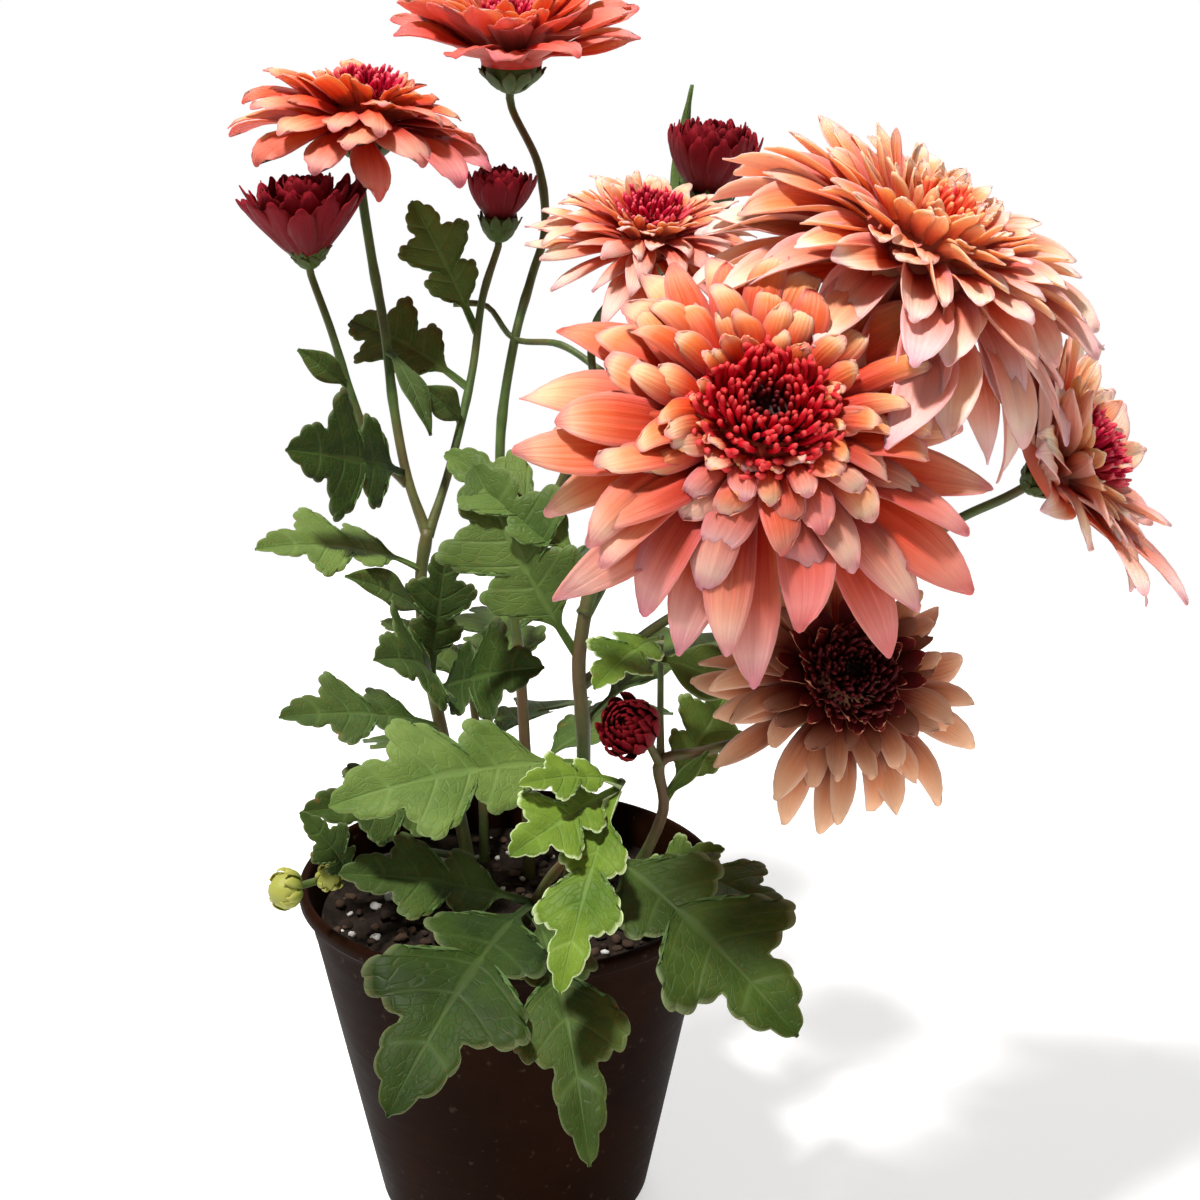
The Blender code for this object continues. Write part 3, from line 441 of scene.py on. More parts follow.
def tubes(paths, radius, sides, **marks):
    """Closed tubes: rings of corners round each path. paths is (tubes, stations, 3)."""
    along = unit(np.gradient(paths, axis=1))
    spread = np.abs(along).mean(axis=1)
    reference = np.eye(3)[spread.argmin(axis=-1)][:, None, :]
    across = unit(np.cross(along, reference))
    upright = np.cross(across, along)
    turn = 2 * np.pi * np.arange(sides) / sides
    ring = across[:, :, None] * np.cos(turn)[:, None] + upright[:, :, None] * np.sin(turn)[:, None]
    points = paths[:, :, None] + ring * np.broadcast_to(radius, ring.shape[:3])[..., None]
    index = np.arange(points[..., 0].size).reshape(points.shape[:3])
    wrapped = np.concatenate([index, index[..., :1]], axis=-1)
    faces = np.concatenate([quads(wrapped), cap(index[:, 0]), cap(index[:, -1])[:, ::-1]])
    marks = {key: np.broadcast_to(value, index.shape).ravel() for key, value in marks.items()}
    return points.reshape(-1, 3), faces, marks


def turned(profile, sides, **marks):
    """A closed body turned round Z. The profile runs from the axis on the upper side, out, and back to
    the axis on the lower one, and both ends are closed with small caps."""
    profile = np.asarray(profile, float)
    turn = 2 * np.pi * np.arange(sides) / sides
    radius, height = profile[:, :1], profile[:, 1:]
    points = np.stack([radius * np.cos(turn), radius * np.sin(turn), height + 0 * turn], -1)
    index = np.arange(len(profile) * sides).reshape(len(profile), sides)
    wrapped = np.concatenate([index, index[:, :1]], axis=1)
    faces = np.concatenate([quads(wrapped), cap(index[0]), cap(index[-1])[:, ::-1]])
    marks = {key: np.full(index.size, float(value)) for key, value in marks.items()}
    return points.reshape(-1, 3), faces, marks


def joined(*shapes):
    """Several shapes as one, with a mark that a shape lacks set to nought."""
    keys = sorted({key for shape in shapes for key in shape[2]})
    starts = np.cumsum([0] + [len(points) for points, _, _ in shapes[:-1]])
    return (
        np.concatenate([points for points, _, _ in shapes]),
        np.concatenate([faces + start for (_, faces, _), start in zip(shapes, starts)]),
        {
            key: np.concatenate([marks.get(key, np.zeros(len(points))) for points, _, marks in shapes])
            for key in keys
        },
    )


def turn_to(axis):
    """Rows of the turn that points +Z along the axis."""
    up = unit(np.asarray(axis, float))
    side = unit(np.cross((0.0, 1.0, 0.0), up))
    return np.stack([side, np.cross(up, side), up])


def placed(shape, seat, axis, size=1.0):
    """A shape turned so that +Z points along the axis, scaled, and moved to the seat."""
    points, faces, marks = shape
    return points * size @ turn_to(axis) + np.asarray(seat, float), faces, marks


def smooth_route(route, spacing):
    """Points about a spacing apart on a Catmull-Rom curve through the route's points."""
    route = np.array(route, float)
    ends = np.vstack([2 * route[0] - route[1], route, 2 * route[-1] - route[-2]])
    points = [route[:1]]
    for a, b, c, d in zip(ends, ends[1:], ends[2:], ends[3:]):
        parts = max(1, round(np.linalg.norm(c - b) / spacing))
        t = (np.arange(1, parts + 1) / parts)[:, None]
        points.append(
            0.5 * (2 * b + (c - a) * t + (2 * a - 5 * b + 4 * c - d) * t**2
                   + (3 * b - a - 3 * c + d) * t**3)
        )
    return np.concatenate(points)


def link(name, data):
    """A new object that holds the data, in the scene."""
    made = bpy.data.objects.new(name, data)
    bpy.context.scene.collection.objects.link(made)
    return made


def make_piece(name, shape, material, slot, *nodes):
    """A mesh object of a shape in millimetres, with its marks as attributes, in place of the nodes."""
    points, faces, marks = shape
    mesh = bpy.data.meshes.new(name)
    mesh.vertices.add(len(points))
    mesh.vertices.foreach_set("co", (points * MM).ravel())
    mesh.loops.add(faces.size)
    mesh.loops.foreach_set("vertex_index", faces.ravel().astype(np.int32))
    mesh.polygons.add(len(faces))
    mesh.polygons.foreach_set("loop_start", np.arange(0, faces.size, 4, dtype=np.int32))
    mesh.update(calc_edges=True)
    for key, values in marks.items():
        layer = mesh.attributes.new(key, "FLOAT", "POINT")
        layer.data.foreach_set("value", values.astype(np.float32))
    mesh.shade_smooth()
    mesh.materials.append(material)
    piece = link(name, mesh)
    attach(piece, "root")
    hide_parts(*nodes)
    return piece


# Petals, quills and bracts


def running_sum(values, step):
    """The integral of each row from its start, by trapezia."""
    middle = (values[:, 1:] + values[:, :-1]) / 2 * step
    return np.concatenate([np.zeros((len(values), 1)), np.cumsum(middle, axis=1)], axis=1)


def petal_rows(rows, seed, stations, columns, thick, loose=1.0, hang=(0.0, 0.0)):
    """Rows of petals round +Z. Along a petal (u from 0 to 1) its slope goes from one angle to another, and
    its tip rolls under where its sides bend down or curls up where they bend up; its midline is the
    running sum of that slope. Its half width swells as a sine to u = WIDEST, and from there falls by
    (1 - tip) * past^(1.3 + 2.2 tip). Across it (v from -1 to 1) the sides bend by bend * v^2, with three
    fine ribs, cos(3 pi v), that fade at both ends, and the tip is rounded by drawing its corners back
    with v^2. Every petal has its own seeded turn, length, slopes, roll and twist, and slow sines round
    the head, sin(2a) and sin(3a), draw some petals together and lengthen them. On a tilted head petals
    stand up on the upper side and droop on the lower one, by STANDING degrees times their direction's
    part along hang, and the inner petals of the upper side are longer. Outer and lower petals are the
    rosiest."""
    u = np.linspace(0, 1, stations)
    v = np.linspace(-1, 1, columns)
    swell = 0.40 + 0.60 * np.sin(np.pi / 2 * np.clip(u / WIDEST, 0, 1)) ** 1.3
    past = np.clip((u - WIDEST) / (1 - WIDEST), 0, 1)
    shapes = []
    for number, (count, root, lift, length, slope, tip_slope, width, bend, tip, inner) in enumerate(rows):
        draw = np.random.default_rng(1000 * seed + number).uniform(-1, 1, (12, count, 1)) * loose
        angle = 2 * np.pi * (np.arange(count)[:, None] + 0.5 * (number % 2) + 0.34 * draw[0]) / count
        wave = loose * np.sin(3 * angle + seed) * (1 - 0.6 * inner)
        swing = loose * np.sin(2 * angle + 2.1 * seed + number)
        upper = hang[0] * np.cos(angle) + hang[1] * np.sin(angle)
        long = length * (1 + 0.12 * draw[2] + 0.05 * swing + 0.45 * upper * inner * (1.6 - inner))
        roll = (190 * max(-bend, 0) - 60 * max(bend, 0)) * (1 + 0.6 * draw[10]) * past**1.5
        bent = (tip_slope - slope + 18 * draw[4]) * u**1.25 + STANDING * upper * u - roll
        tilt = np.radians(slope + 6 * draw[3] + 4 * wave + bent)
        angle = angle + 0.05 * wave + 0.17 * draw[1] * u**2
        run = root + long * running_sum(np.cos(tilt), 1 / (stations - 1))
        rise = lift + long * running_sum(np.sin(tilt), 1 / (stations - 1))
        outward = np.stack([np.cos(angle), np.sin(angle), 0 * angle], -1)
        sideways = np.stack([-np.sin(angle), np.cos(angle), 0 * angle], -1)
        upward = np.array((0.0, 0.0, 1.0))
        face = np.cos(tilt)[..., None] * upward - np.sin(tilt)[..., None] * outward
        ahead = np.cos(tilt)[..., None] * outward + np.sin(tilt)[..., None] * upward
        twist = (0.50 * draw[5] * u)[..., None]
        across = np.cos(twist) * sideways + np.sin(twist) * face
        face = np.cos(twist) * face - np.sin(twist) * sideways
        half = width / 2 * (1 + 0.14 * draw[6]) * swell * (1 - (1 - tip) * past ** (1.3 + 2.2 * tip))
        body = np.sin(np.pi * np.clip(u * 0.9 + 0.1, 0, 1)) ** 0.7
        height = (
            (bend + 0.16 * draw[7])[..., None] * (v**2 - 0.3) * body[:, None]
            - 0.030 * np.cos(3 * np.pi * v) * (u * (1 - u) * 4)[:, None]
            + 0.06 * np.sin(7 * u + 6 * draw[8])[..., None] * v
        ) * width
        back = 0.6 * width * tip * v**2 * u[:, None] ** 10
        top = (
            (run[..., None] * outward + rise[..., None] * upward)[:, :, None]
            + across[:, :, None] * (half[..., None] * v)[..., None]
            + face[:, :, None] * height[..., None]
            - ahead[:, :, None] * np.broadcast_to(back, height.shape)[..., None]
        )
        thin = thick * (1 - 0.55 * v**2) * (1 - 0.35 * u[:, None] ** 2)
        tone = 0.5 + 0.5 * draw[9][..., None] + 0 * height
        aloft = upper / max(math.hypot(*hang), 0.3)
        rosy = np.clip(0.50 - 0.50 * inner - 0.50 * aloft + 0.30 * draw[11], 0, 1)[..., None]
        shapes.append(blades(
            top, thin, along=u[:, None], across=v, inner=inner, tone=tone, rosy=rosy,
            grain=np.arange(count)[:, None, None] * 1.7 + 11 * number,
        ))
    return joined(*shapes)


def quill_rings(rings, seed, base):
    """Tubular centre florets: each leans out from its foot and straightens towards its tip, swells to
    the mouth and is pinched at the very end."""
    u = np.linspace(0, 1, 6)
    girth = np.array([0.80, 0.85, 0.95, 1.10, 1.35, 0.70])
    shapes = []
    for number, (count, foot_r, foot_z, length, lean, tip_lean) in enumerate(rings):
        draw = np.random.default_rng(5000 * seed + number).uniform(-1, 1, (4, count, 1))
        angle = 2 * np.pi * (np.arange(count)[:, None] + 0.5 * (number % 2) + 0.3 * draw[0]) / count
        tilt = np.radians(lean + 8 * draw[1] + (tip_lean - lean) * u)
        long = length * (1 + 0.20 * draw[2])
        run = foot_r + long * running_sum(np.cos(tilt), 0.2)
        rise = base + foot_z + long * running_sum(np.sin(tilt), 0.2)
        sway = angle + 0.35 * draw[3] * u**2
        paths = np.stack([run * np.cos(sway), run * np.sin(sway), rise], -1)
        ring = number / (len(rings) - 1)
        shapes.append(tubes(
            paths, (QUILL_R - 0.003 * ring) * girth[:, None], 6, along=u[:, None], inner=ring,
            tone=0.5 + 0.5 * draw[1][..., None] * np.ones((count, 6, 6)),
        ))
    return joined(*shapes)


def flower_head(name, values, petal_look, quill_look):
    """One head: rows of petals on a turned core, and rings of quills on a turned button above it."""
    seat, axis, radius, kind, seed, red, deep = values
    core = CORES["dome" if kind == "dome" else "open"]
    stations, columns = PETAL_GRIDS[0] if radius > LARGE_R else PETAL_GRIDS[1]
    hang = turn_to(axis)[:2, 2] * (DOME_STANDING if kind == "dome" else 1)
    petals = petal_rows(ROWS[kind], seed, stations, columns, PETAL_THICK / radius, hang=hang)
    shape = joined(petals, turned(core, 24, inner=1, under=1, along=0.1))
    # the second mark is the head's gamma of painted light and shade
    for key, value in (("red", red), ("deep", deep)):
        shape[2][key] = np.full(len(shape[0]), value)
    shape = placed(shape, seat, axis, radius)
    make_piece(f"ray_petals_{name}", shape, petal_look, "petal_coral", f"petals_{name}")
    top = core[0][1] + SEAT_GAP / radius
    button = turned([(r, top + rise) for r, rise in BUTTON], 24, inner=1, tone=0.5)
    rings = QUILLS[{"dome": "apex", "open": "open", "low": "open"}.get(kind, "small")]
    shape = placed(joined(button, quill_rings(rings, seed, top)), seat, axis, radius)
    make_piece(f"quills_{name}", shape, quill_look, "petal_crimson", f"centre_{name}")


def bud(name, values, look):
    """One crimson bud: rows of petals that close over a turned core."""
    seat, axis, radius, kind, seed = values
    shape = joined(
        petal_rows(ROWS[kind], seed, 10, 7, SCALE_THICK / radius, 0.5),
        turned(CORES[kind], 20, inner=1, tone=0.3, along=0.2),
    )
    shape = placed(shape, seat, axis, radius)
    make_piece(f"bud_petals_{name}", shape, look, "petal_crimson", f"bud_{name}")


def green_bud(seat, axis, radius):
    """A closed bud: an egg with two rows of scales that curl over it."""
    scales = petal_rows(ROWS["scales"], 3, 9, 5, SCALE_THICK / radius, 0.7)
    shape = joined(turned(CORES["scales"], 20, along=0.8), scales)
    return placed(shape, seat, axis, radius)


def flower_cup(seat, axis, radius, kind):
    """The green cup under a head: a turned body with two rows of narrow bracts that hug it."""
    rim, height, rows = CUPS[kind]
    steps = np.linspace(0, 1, 9)
    foot = 1.6 / radius
    wall_r = foot + (rim - foot) * np.sin(np.pi / 2 * steps) ** 0.8
    wall_z = -height * (1 - steps**1.3) - SEAT_GAP / radius
    profile = np.stack([wall_r, wall_z], -1)[::-1]
    profile = np.concatenate([[(0.01, wall_z[-1])], profile, [(0.01, wall_z[0])]])
    shape = joined(
        turned(profile, 20, tone=0.4, along=0.3, inner=0.5),
        petal_rows(ROWS[rows], int(radius), 7, 5, SCALE_THICK / radius, 0.4),
    )
    return placed(shape, seat, axis, radius)


# Shoots and leaves


def leaf_tops(leaves, outline, stations, columns, seed):
    """Leaves as grids. Row t follows the margin from foot to tip at even steps of its length; column q
    runs from one margin over the midrib to the other along a side vein, which starts a little nearer
    the foot than it ends. Teeth are rounded |sin| waves on the margin. Over its plane the blade rises
    by bow * 4 s (1 - s), folds up by 0.22 |w| - 0.1 w^2 / half, ruffles towards the margin by slow
    sines of s, swells across by sin(2.5 pi |w| / half), and sinks along its midrib and side veins."""
    knots = np.array(LOBED if outline == "lobed" else PLAIN)
    fine = smooth_route(np.column_stack([knots * (1, MARGIN_ASPECT), 0 * knots[:, 0]]), 0.006)[:, :2]
    walked = np.concatenate([[0], np.cumsum(np.linalg.norm(np.diff(fine, axis=0), axis=1))])
    t = np.linspace(0, 1, stations)
    edge_s, edge_w = (np.interp(t * walked[-1], walked, fine[:, i]) for i in (0, 1))
    edge_w = edge_w / MARGIN_ASPECT
    heading = unit(np.stack([np.gradient(edge_s), np.gradient(edge_w) * MARGIN_ASPECT], -1))
    blade = np.clip((t - 0.16) / 0.05, 0, 1) * np.clip((1 - t) / 0.03, 0, 1)
    window = np.hanning(15)[1:-1] / np.hanning(15).sum()
    rib_s = np.convolve(np.pad(edge_s - 0.17 * edge_w, 6, "edge"), window, "valid")
    rib_s = np.maximum.accumulate(rib_s)
    rib_s[0], rib_s[-1] = 0.0, 1.0
    teeth = 0.020 * (np.abs(np.sin(np.pi * TEETH * t)) - 0.55) * blade if outline == "lobed" else 0 * t
    edge_s = edge_s - heading[:, 1] * teeth
    edge_w = np.maximum(edge_w + heading[:, 0] * teeth / MARGIN_ASPECT, 0)
    q = np.linspace(-1, 1, columns)
    s = rib_s[:, None] + (edge_s - rib_s)[:, None] * np.abs(q) ** 1.15
    foot, tip, face = np.array([leaf[:3] for leaf in leaves], float).swapaxes(0, 1)[:, :, None, None]
    wide, bow, light, young = np.array([leaf[3:] for leaf in leaves], float).T[..., None, None]
    half = wide / 2
    reach = np.linalg.norm(tip - foot, axis=-1)
    along = (tip - foot) / reach[..., None]
    up = unit(face - (face * along).sum(-1)[..., None] * along)
    side = np.cross(up, along)
    draw = np.random.default_rng(seed).uniform(-1, 1, (5, len(leaves), 1, 1))
    w = q * np.maximum(edge_w[:, None] * half, PETIOLE * (1 - 0.6 * t[:, None] ** 6))
    veins = sum(np.exp(-(((t - at) / 0.02) ** 2)) for at in VEINS)[:, None] if outline == "lobed" else 0
    spread = np.abs(w) / half
    ruffle = 0.10 * np.sin(12 * s + 9 * draw[0] + 1.5 * np.sign(q))
    ruffle = ruffle + 0.07 * draw[1] * np.sin(6 * s + 6 * draw[2])
    rise = (
        bow * 4 * s * (1 - s) + 0.22 * np.abs(w) - 0.10 * w**2 / half + half * spread**2 * ruffle
        - 0.18 * veins * np.clip(spread * 6, 0, 1) * (1 - np.abs(q) ** 2)
        - 0.45 * np.exp(-((w / 1.3) ** 2)) * np.clip(s * 5 - 1, 0, 1)
        + 0.25 * np.sin(2.5 * np.pi * spread) * np.clip(spread * 4, 0, 1)
    )
    bend = 0.06 * draw[3] * half * np.sin(np.pi * s)
    top = foot + along * (s * reach)[..., None] + side * (w + bend)[..., None] + up * rise[..., None]
    thin = LEAF_THICK * (1 - 0.5 * np.abs(q)) + 0.9 * np.clip(1 - t[:, None] / 0.16, 0, 1)
    return blades(
        top, thin, rib=q, run=t[:, None], light=light, young=young,
        grain=np.arange(len(leaves))[:, None, None] * 3.1 + seed,
    )


def stem_parts(name, values):
    """The shapes of one rooted stem: its shoots, its leaves and its flower cups."""
    lines, shoots, cups = [], [], []
    for number, (route, first_r, last_r) in enumerate(values["shoots"]):
        points = [p for p in route if not isinstance(p, str)]
        if isinstance(route[-1], str):
            sort, carried = route[-1].split()
            seat, axis, radius, kind, *_ = (HEADS if sort == "head" else BUDS)[carried]
            kind = kind if kind in CUPS else "head"
            height = CUPS[kind][1]
            down = unit(np.array(axis, float))
            foot = np.array(seat, float) - down * height * radius
            points += [tuple(foot - down * 0.12 * radius), tuple(foot + down * 0.12 * radius)]
            cups.append(flower_cup(seat, axis, radius, kind))
        lines.append(smooth_route(points, 1.0))
        line = smooth_route(points, RING_GAP)
        u = np.linspace(0, 1, len(line))
        turn = 2 * np.pi * np.arange(SHOOT_SIDES) / SHOOT_SIDES
        girth = SLIMMER * (first_r + (last_r - first_r) * u)
        knots = np.exp(-((((u * len(line) / 14 + 0.3) % 1) - 0.5) / 0.09) ** 2)
        girth = (girth * (1 + 0.13 * knots))[:, None] * (1 + 0.05 * np.cos(5 * turn))
        if number:
            girth = girth * (1 + 0.35 * np.exp(-((u[:, None] * len(line) * RING_GAP / 4) ** 2)))
        shoots.append(
            tubes(line[None], girth[None], SHOOT_SIDES, run=u[:, None], tone=0.3 if number else 0.6)
        )
    line = np.vstack(lines)
    shapes = []
    for outline, (stations, columns) in LEAF_GRIDS.items():
        leaves = [
            (line[np.argmin(np.linalg.norm(line - foot, axis=1))], *leaf)
            for foot, *leaf in values.get(outline, ())
        ]
        if leaves:
            shapes.append(leaf_tops(leaves, outline, stations, columns, sum(map(ord, name)) + stations))
    return joined(*shoots), joined(*shapes), joined(*cups) if cups else None


# Soil and pot


def lumps(x, y):
    """Soil height in millimetres: folded sine waves in many directions, finer and lower in turn."""
    draw = np.random.default_rng(5).uniform(0, 1, (26, 3))
    height = 0.9 * np.sin(0.21 * x + 1.3) + 0.8 * np.sin(0.27 * y + 0.4)
    for number, (way, phase, size) in enumerate(draw):
        pitch = 0.16 * 1.14**number
        wave = np.sin(pitch * (x * np.cos(6.28 * way) + y * np.sin(6.28 * way)) + 6.28 * phase)
        height = height + (0.9 + 0.5 * size) / (1 + 0.22 * number) * (0.5 - np.abs(wave))
    return height


def soil_bed():
    """The soil: a turned plug with its top raised by lumps(x, y), which fade towards the pot's wall."""
    rings, sides = 62, 168
    radius = np.concatenate([np.linspace(0.4, SOIL_R - 1.5, rings), [SOIL_R - 0.6]])
    wall = ((SOIL_R - 0.3, SOIL_LEVEL - 2.0), *SOIL_SIDE, (38.4, SOIL_FOOT), (0.4, SOIL_FOOT))
    profile = np.concatenate([np.stack([radius, 0 * radius + SOIL_LEVEL], -1), wall])
    points, faces, marks = turned(profile, sides)
    top = slice(0, rings * sides)
    fade = np.clip((SOIL_R - np.hypot(points[top, 0], points[top, 1])) / 6, 0, 1)
    points[top, 2] += lumps(points[top, 0], points[top, 1]) * (0.3 + 0.7 * fade) - 0.6
    return points, faces, marks


def crumbs(count, low, high, flat, seed):
    """Rounded grains strewn on the soil: balls of six rings of eight corners with seeded dents, each
    turned about Z, in places drawn evenly over the soil's disc."""
    rng = np.random.default_rng(seed)
    turn = 2 * np.pi * np.arange(8) / 8
    rise = np.radians(np.linspace(80, -80, 6))[:, None]
    ball = (np.cos(rise) * np.cos(turn), np.cos(rise) * np.sin(turn), np.sin(rise))
    ball = np.stack(np.broadcast_arrays(*ball), -1)
    size = rng.uniform(low, high, (count, 1, 1, 1)) * rng.uniform(0.7, 1.3, (count, 1, 1, 3)) * (1, 1, flat)
    dents = 1 + 0.22 * rng.uniform(-1, 1, (count, 6, 8, 1))
    spin = rng.uniform(0, 2 * np.pi, count)[:, None, None]
    x, y, z = np.moveaxis(ball * size * dents, -1, 0)
    body = np.stack([x * np.cos(spin) - y * np.sin(spin), x * np.sin(spin) + y * np.cos(spin), z], -1)
    far = (SOIL_R - 3.5) * np.sqrt(rng.uniform(0.01, 1, count))
    way = rng.uniform(0, 2 * np.pi, count)
    x, y = far * np.cos(way), far * np.sin(way)
    place = np.stack([x, y, SOIL_LEVEL - 0.4 + lumps(x, y) + 0.25 * low], -1)
    points = body + place[:, None, None]
    index = np.arange(points[..., 0].size).reshape(count, 6, 8)
    faces = np.concatenate([
        quads(np.concatenate([index, index[..., :1]], -1)), cap(index[:, 0]), cap(index[:, -1])[:, ::-1]
    ])
    tone = np.repeat(rng.uniform(0, 1, count), 48)
    return points.reshape(-1, 3), faces, {"tone": tone}


def pot_wall():
    """The pot's section, turned: floor, inner wall, rolled lip as an arc, flared outer wall with two
    faint moulded rings under the lip, and a rounded foot."""
    height = np.linspace(POT_FLOOR + 1, 92.5, 40)
    outer = np.interp(height, (0, 60, 84, POT_HEIGHT), (POT_BASE_R, 51.2, 55.8, POT_RIM_R - 1.3))
    inside = np.stack([outer - POT_WALL, height], -1)
    arc = np.radians(np.linspace(170, -75, 22))
    lip = np.stack([np.cos(arc), np.sin(arc)], -1) * LIP_HALF + POT_LIP
    skirt = np.array([(60.0, 95.6), (59.9, 94.4), (59.2, 93.5), (58.0, 93.1)])
    rings = sum(0.22 * np.exp(-(((height - at) / 0.8) ** 2)) for at in POT_RINGS)
    outside = np.stack([outer + rings, height], -1)[::-1]
    foot = np.radians(np.linspace(0, -90, 7))
    foot = np.stack([POT_BASE_R - 1.2 + 1.2 * np.cos(foot) + 0.2, 1.2 + 1.2 * np.sin(foot)], -1)
    floor = np.array([(0.4, POT_FLOOR), (20.0, POT_FLOOR), (inside[0, 0] - 1.2, POT_FLOOR)])
    under = np.array([(30.0, 0.0), (15.0, 0.0), (0.4, 0.0)])
    profile = np.concatenate([floor, inside, lip[:-6], skirt, outside, foot, under])
    return turned(profile, 128)


# Looks


class Look:
    """A material and a short way to add nodes to it."""

    def __init__(self, name, **shader_values):
        self.material = bpy.data.materials.new(name)
        self.material.use_nodes = True
        self.tree = self.material.node_tree
        self.shader = self.tree.nodes["Principled BSDF"]
        for socket, value in shader_values.items():
            self.shader.inputs[socket.replace("_", " ")].default_value = value

    def add(self, kind, inputs, output=0, **settings):
        made = self.tree.nodes.new("ShaderNode" + kind)
        for key, value in settings.items():
            setattr(made, key, value)
        for socket, value in inputs.items():
            if isinstance(value, bpy.types.NodeSocket):
                self.tree.links.new(value, made.inputs[socket])
            else:
                made.inputs[socket].default_value = value
        return made.outputs[output]

    def mark(self, name):
        return self.add("Attribute", {}, "Fac", attribute_name=name)

    def marks(self, names):
        return [self.mark(name) for name in names.split()]

    def maths(self, operation, first, second=0.0):
        return self.add("Math", {0: first, 1: second}, operation=operation)

    def times(self, first, second):
        return self.maths("MULTIPLY", first, second)

    def margin(self, across):
        """Nought over the middle of a petal and one along its margins, |v|^4."""
        return self.maths("POWER", self.maths("ABSOLUTE", across), 4.0)

    def streaks(self, across, along, pitch, scale=2.2):
        """Noise drawn out along each petal, and unlike on any two petals."""
        place = self.vector(self.times(across, pitch), along, self.mark("grain"))
        return self.noise(place, scale, 4.0, 0.6)

    def vector(self, x=0.0, y=0.0, z=0.0):
        return self.add("CombineXYZ", {0: x, 1: y, 2: z})

    def place(self):
        return self.add("TexCoord", {}, "Object")

    def noise(self, vector, scale, detail=3.0, roughness=0.55):
        values = {"Vector": vector, "Scale": scale, "Detail": detail, "Roughness": roughness}
        return self.add("TexNoise", values, "Fac")

    def ramp(self, value, *stops):
        made = self.tree.nodes.new("ShaderNodeValToRGB")
        self.tree.links.new(value, made.inputs[0])
        points = made.color_ramp.elements
        while len(points) < len(stops):
            points.new(0.5)
        for point, (at, colour) in zip(points, stops):
            point.position = at
            point.color = (*colour, 1.0) if isinstance(colour, tuple) else (colour, colour, colour, 1.0)
        return made.outputs[0]

    def mix(self, share, first, second, blend_type="MIX"):
        made = self.tree.nodes.new("ShaderNodeMix")
        made.data_type = "RGBA"
        made.blend_type = blend_type
        for socket, value in ((made.inputs[0], share), (made.inputs[6], first), (made.inputs[7], second)):
            if isinstance(value, bpy.types.NodeSocket):
                self.tree.links.new(value, socket)
            else:
                socket.default_value = (*value, 1.0) if isinstance(value, tuple) else value
        return made.outputs[2]

    def finish(self, colour, height, distance, strength, **links):
        """The material with its colour and a bump of a height, and any other socket that is linked."""
        bump = self.add("Bump", {"Height": height, "Distance": distance, "Strength": strength})
        for socket, value in {"Base Color": colour, "Normal": bump, **links}.items():
            self.tree.links.new(value, self.shader.inputs[socket])
        return self.material


def petal_look():
    """Coral petals: crimson orange at the root, then orange with a cream crown or rosy pink, with pink
    margins and fine lengthwise streaks. The cream crown is partly the petals' own colour and partly a
    painted highlight where the rolled crowns catch the light. Their backs are dusty pink on outer
    petals and orange on inner ones. A head's red mark reddens it, and its gamma mark paints light and
    shade on it: above 1 the colour darkens as painted shade, below 1 it pales as painted light."""
    look = Look("ray_petal", Roughness=0.52, Specular_IOR_Level=0.22,
                Subsurface_Weight=0.40, Subsurface_Scale=0.004, Subsurface_Radius=(1.0, 0.42, 0.24))
    along, across, inner, rosy, tone, under = look.marks("along across inner rosy tone under")
    streak = look.streaks(across, look.times(along, 0.9), 9.0)
    orange = look.ramp(
        along, (0.0, (0.24, 0.003, 0.003)), (0.34, (0.54, 0.030, 0.007)), (0.60, (0.72, 0.120, 0.025)),
        (0.76, (0.83, 0.270, 0.085)), (0.88, (0.86, 0.56, 0.37)), (1.0, (0.78, 0.35, 0.35)))
    pink = look.ramp(
        along, (0.0, (0.22, 0.005, 0.006)), (0.36, (0.42, 0.040, 0.022)), (0.60, (0.54, 0.140, 0.105)),
        (0.84, (0.79, 0.41, 0.43)), (1.0, (0.66, 0.24, 0.34)))
    top = look.mix(rosy, orange, pink)
    ruddy = look.times(look.ramp(tone, (0.0, 0.65), (0.35, 0.0)), along)
    top = look.mix(ruddy, top, (0.70, 0.095, 0.030))
    # cream crown, strongest at 0.82 along: partly the petals' own cream and partly a painted highlight where
    # the rolled crowns catch the light
    cream_and_highlight = look.ramp(along, (0.50, 0.0), (0.82, 1.0), (1.0, 0.30))
    cream_and_highlight = look.times(look.ramp(tone, (0.45, 0.0), (0.95, 0.70)), cream_and_highlight)
    top = look.mix(look.times(cream_and_highlight, look.ramp(streak, (0.30, 0.40), (0.70, 1.0))), top, (0.89, 0.65, 0.42))
    top = look.mix(look.times(look.margin(across), 0.55), top, (0.70, 0.22, 0.27))
    pale = look.times(look.ramp(streak, (0.45, 0.0), (0.75, 0.30)), along)
    top = look.mix(pale, top, (0.87, 0.51, 0.41))
    back = look.ramp(
        along, (0.0, (0.28, 0.05, 0.02)), (0.4, (0.52, 0.13, 0.075)), (1.0, (0.64, 0.23, 0.24)))
    bright = look.ramp(
        along, (0.0, (0.40, 0.020, 0.006)), (0.45, (0.74, 0.12, 0.025)), (0.80, (0.85, 0.27, 0.080)),
        (1.0, (0.89, 0.46, 0.24)))
    back = look.mix(look.ramp(inner, (0.35, 0.0), (0.75, 0.9)), back, bright)
    back = look.mix(look.ramp(streak, (0.3, 0.0), (0.8, 0.35)), back, (0.86, 0.46, 0.32))
    colour = look.mix(under, top, back)
    colour = look.mix(look.times(look.mark("red"), 0.65), colour, (0.60, 0.065, 0.062))
    # painted light and shade per head: a gamma above 1 darkens the colour as shade, below 1 pales it as light
    colour = look.add("Gamma", {"Color": colour, "Gamma": look.mark("deep")})
    ribs = look.times(look.maths("COSINE", look.times(across, 22.0)), 0.2)
    return look.finish(colour, look.maths("ADD", streak, ribs), 0.0004, 0.4)


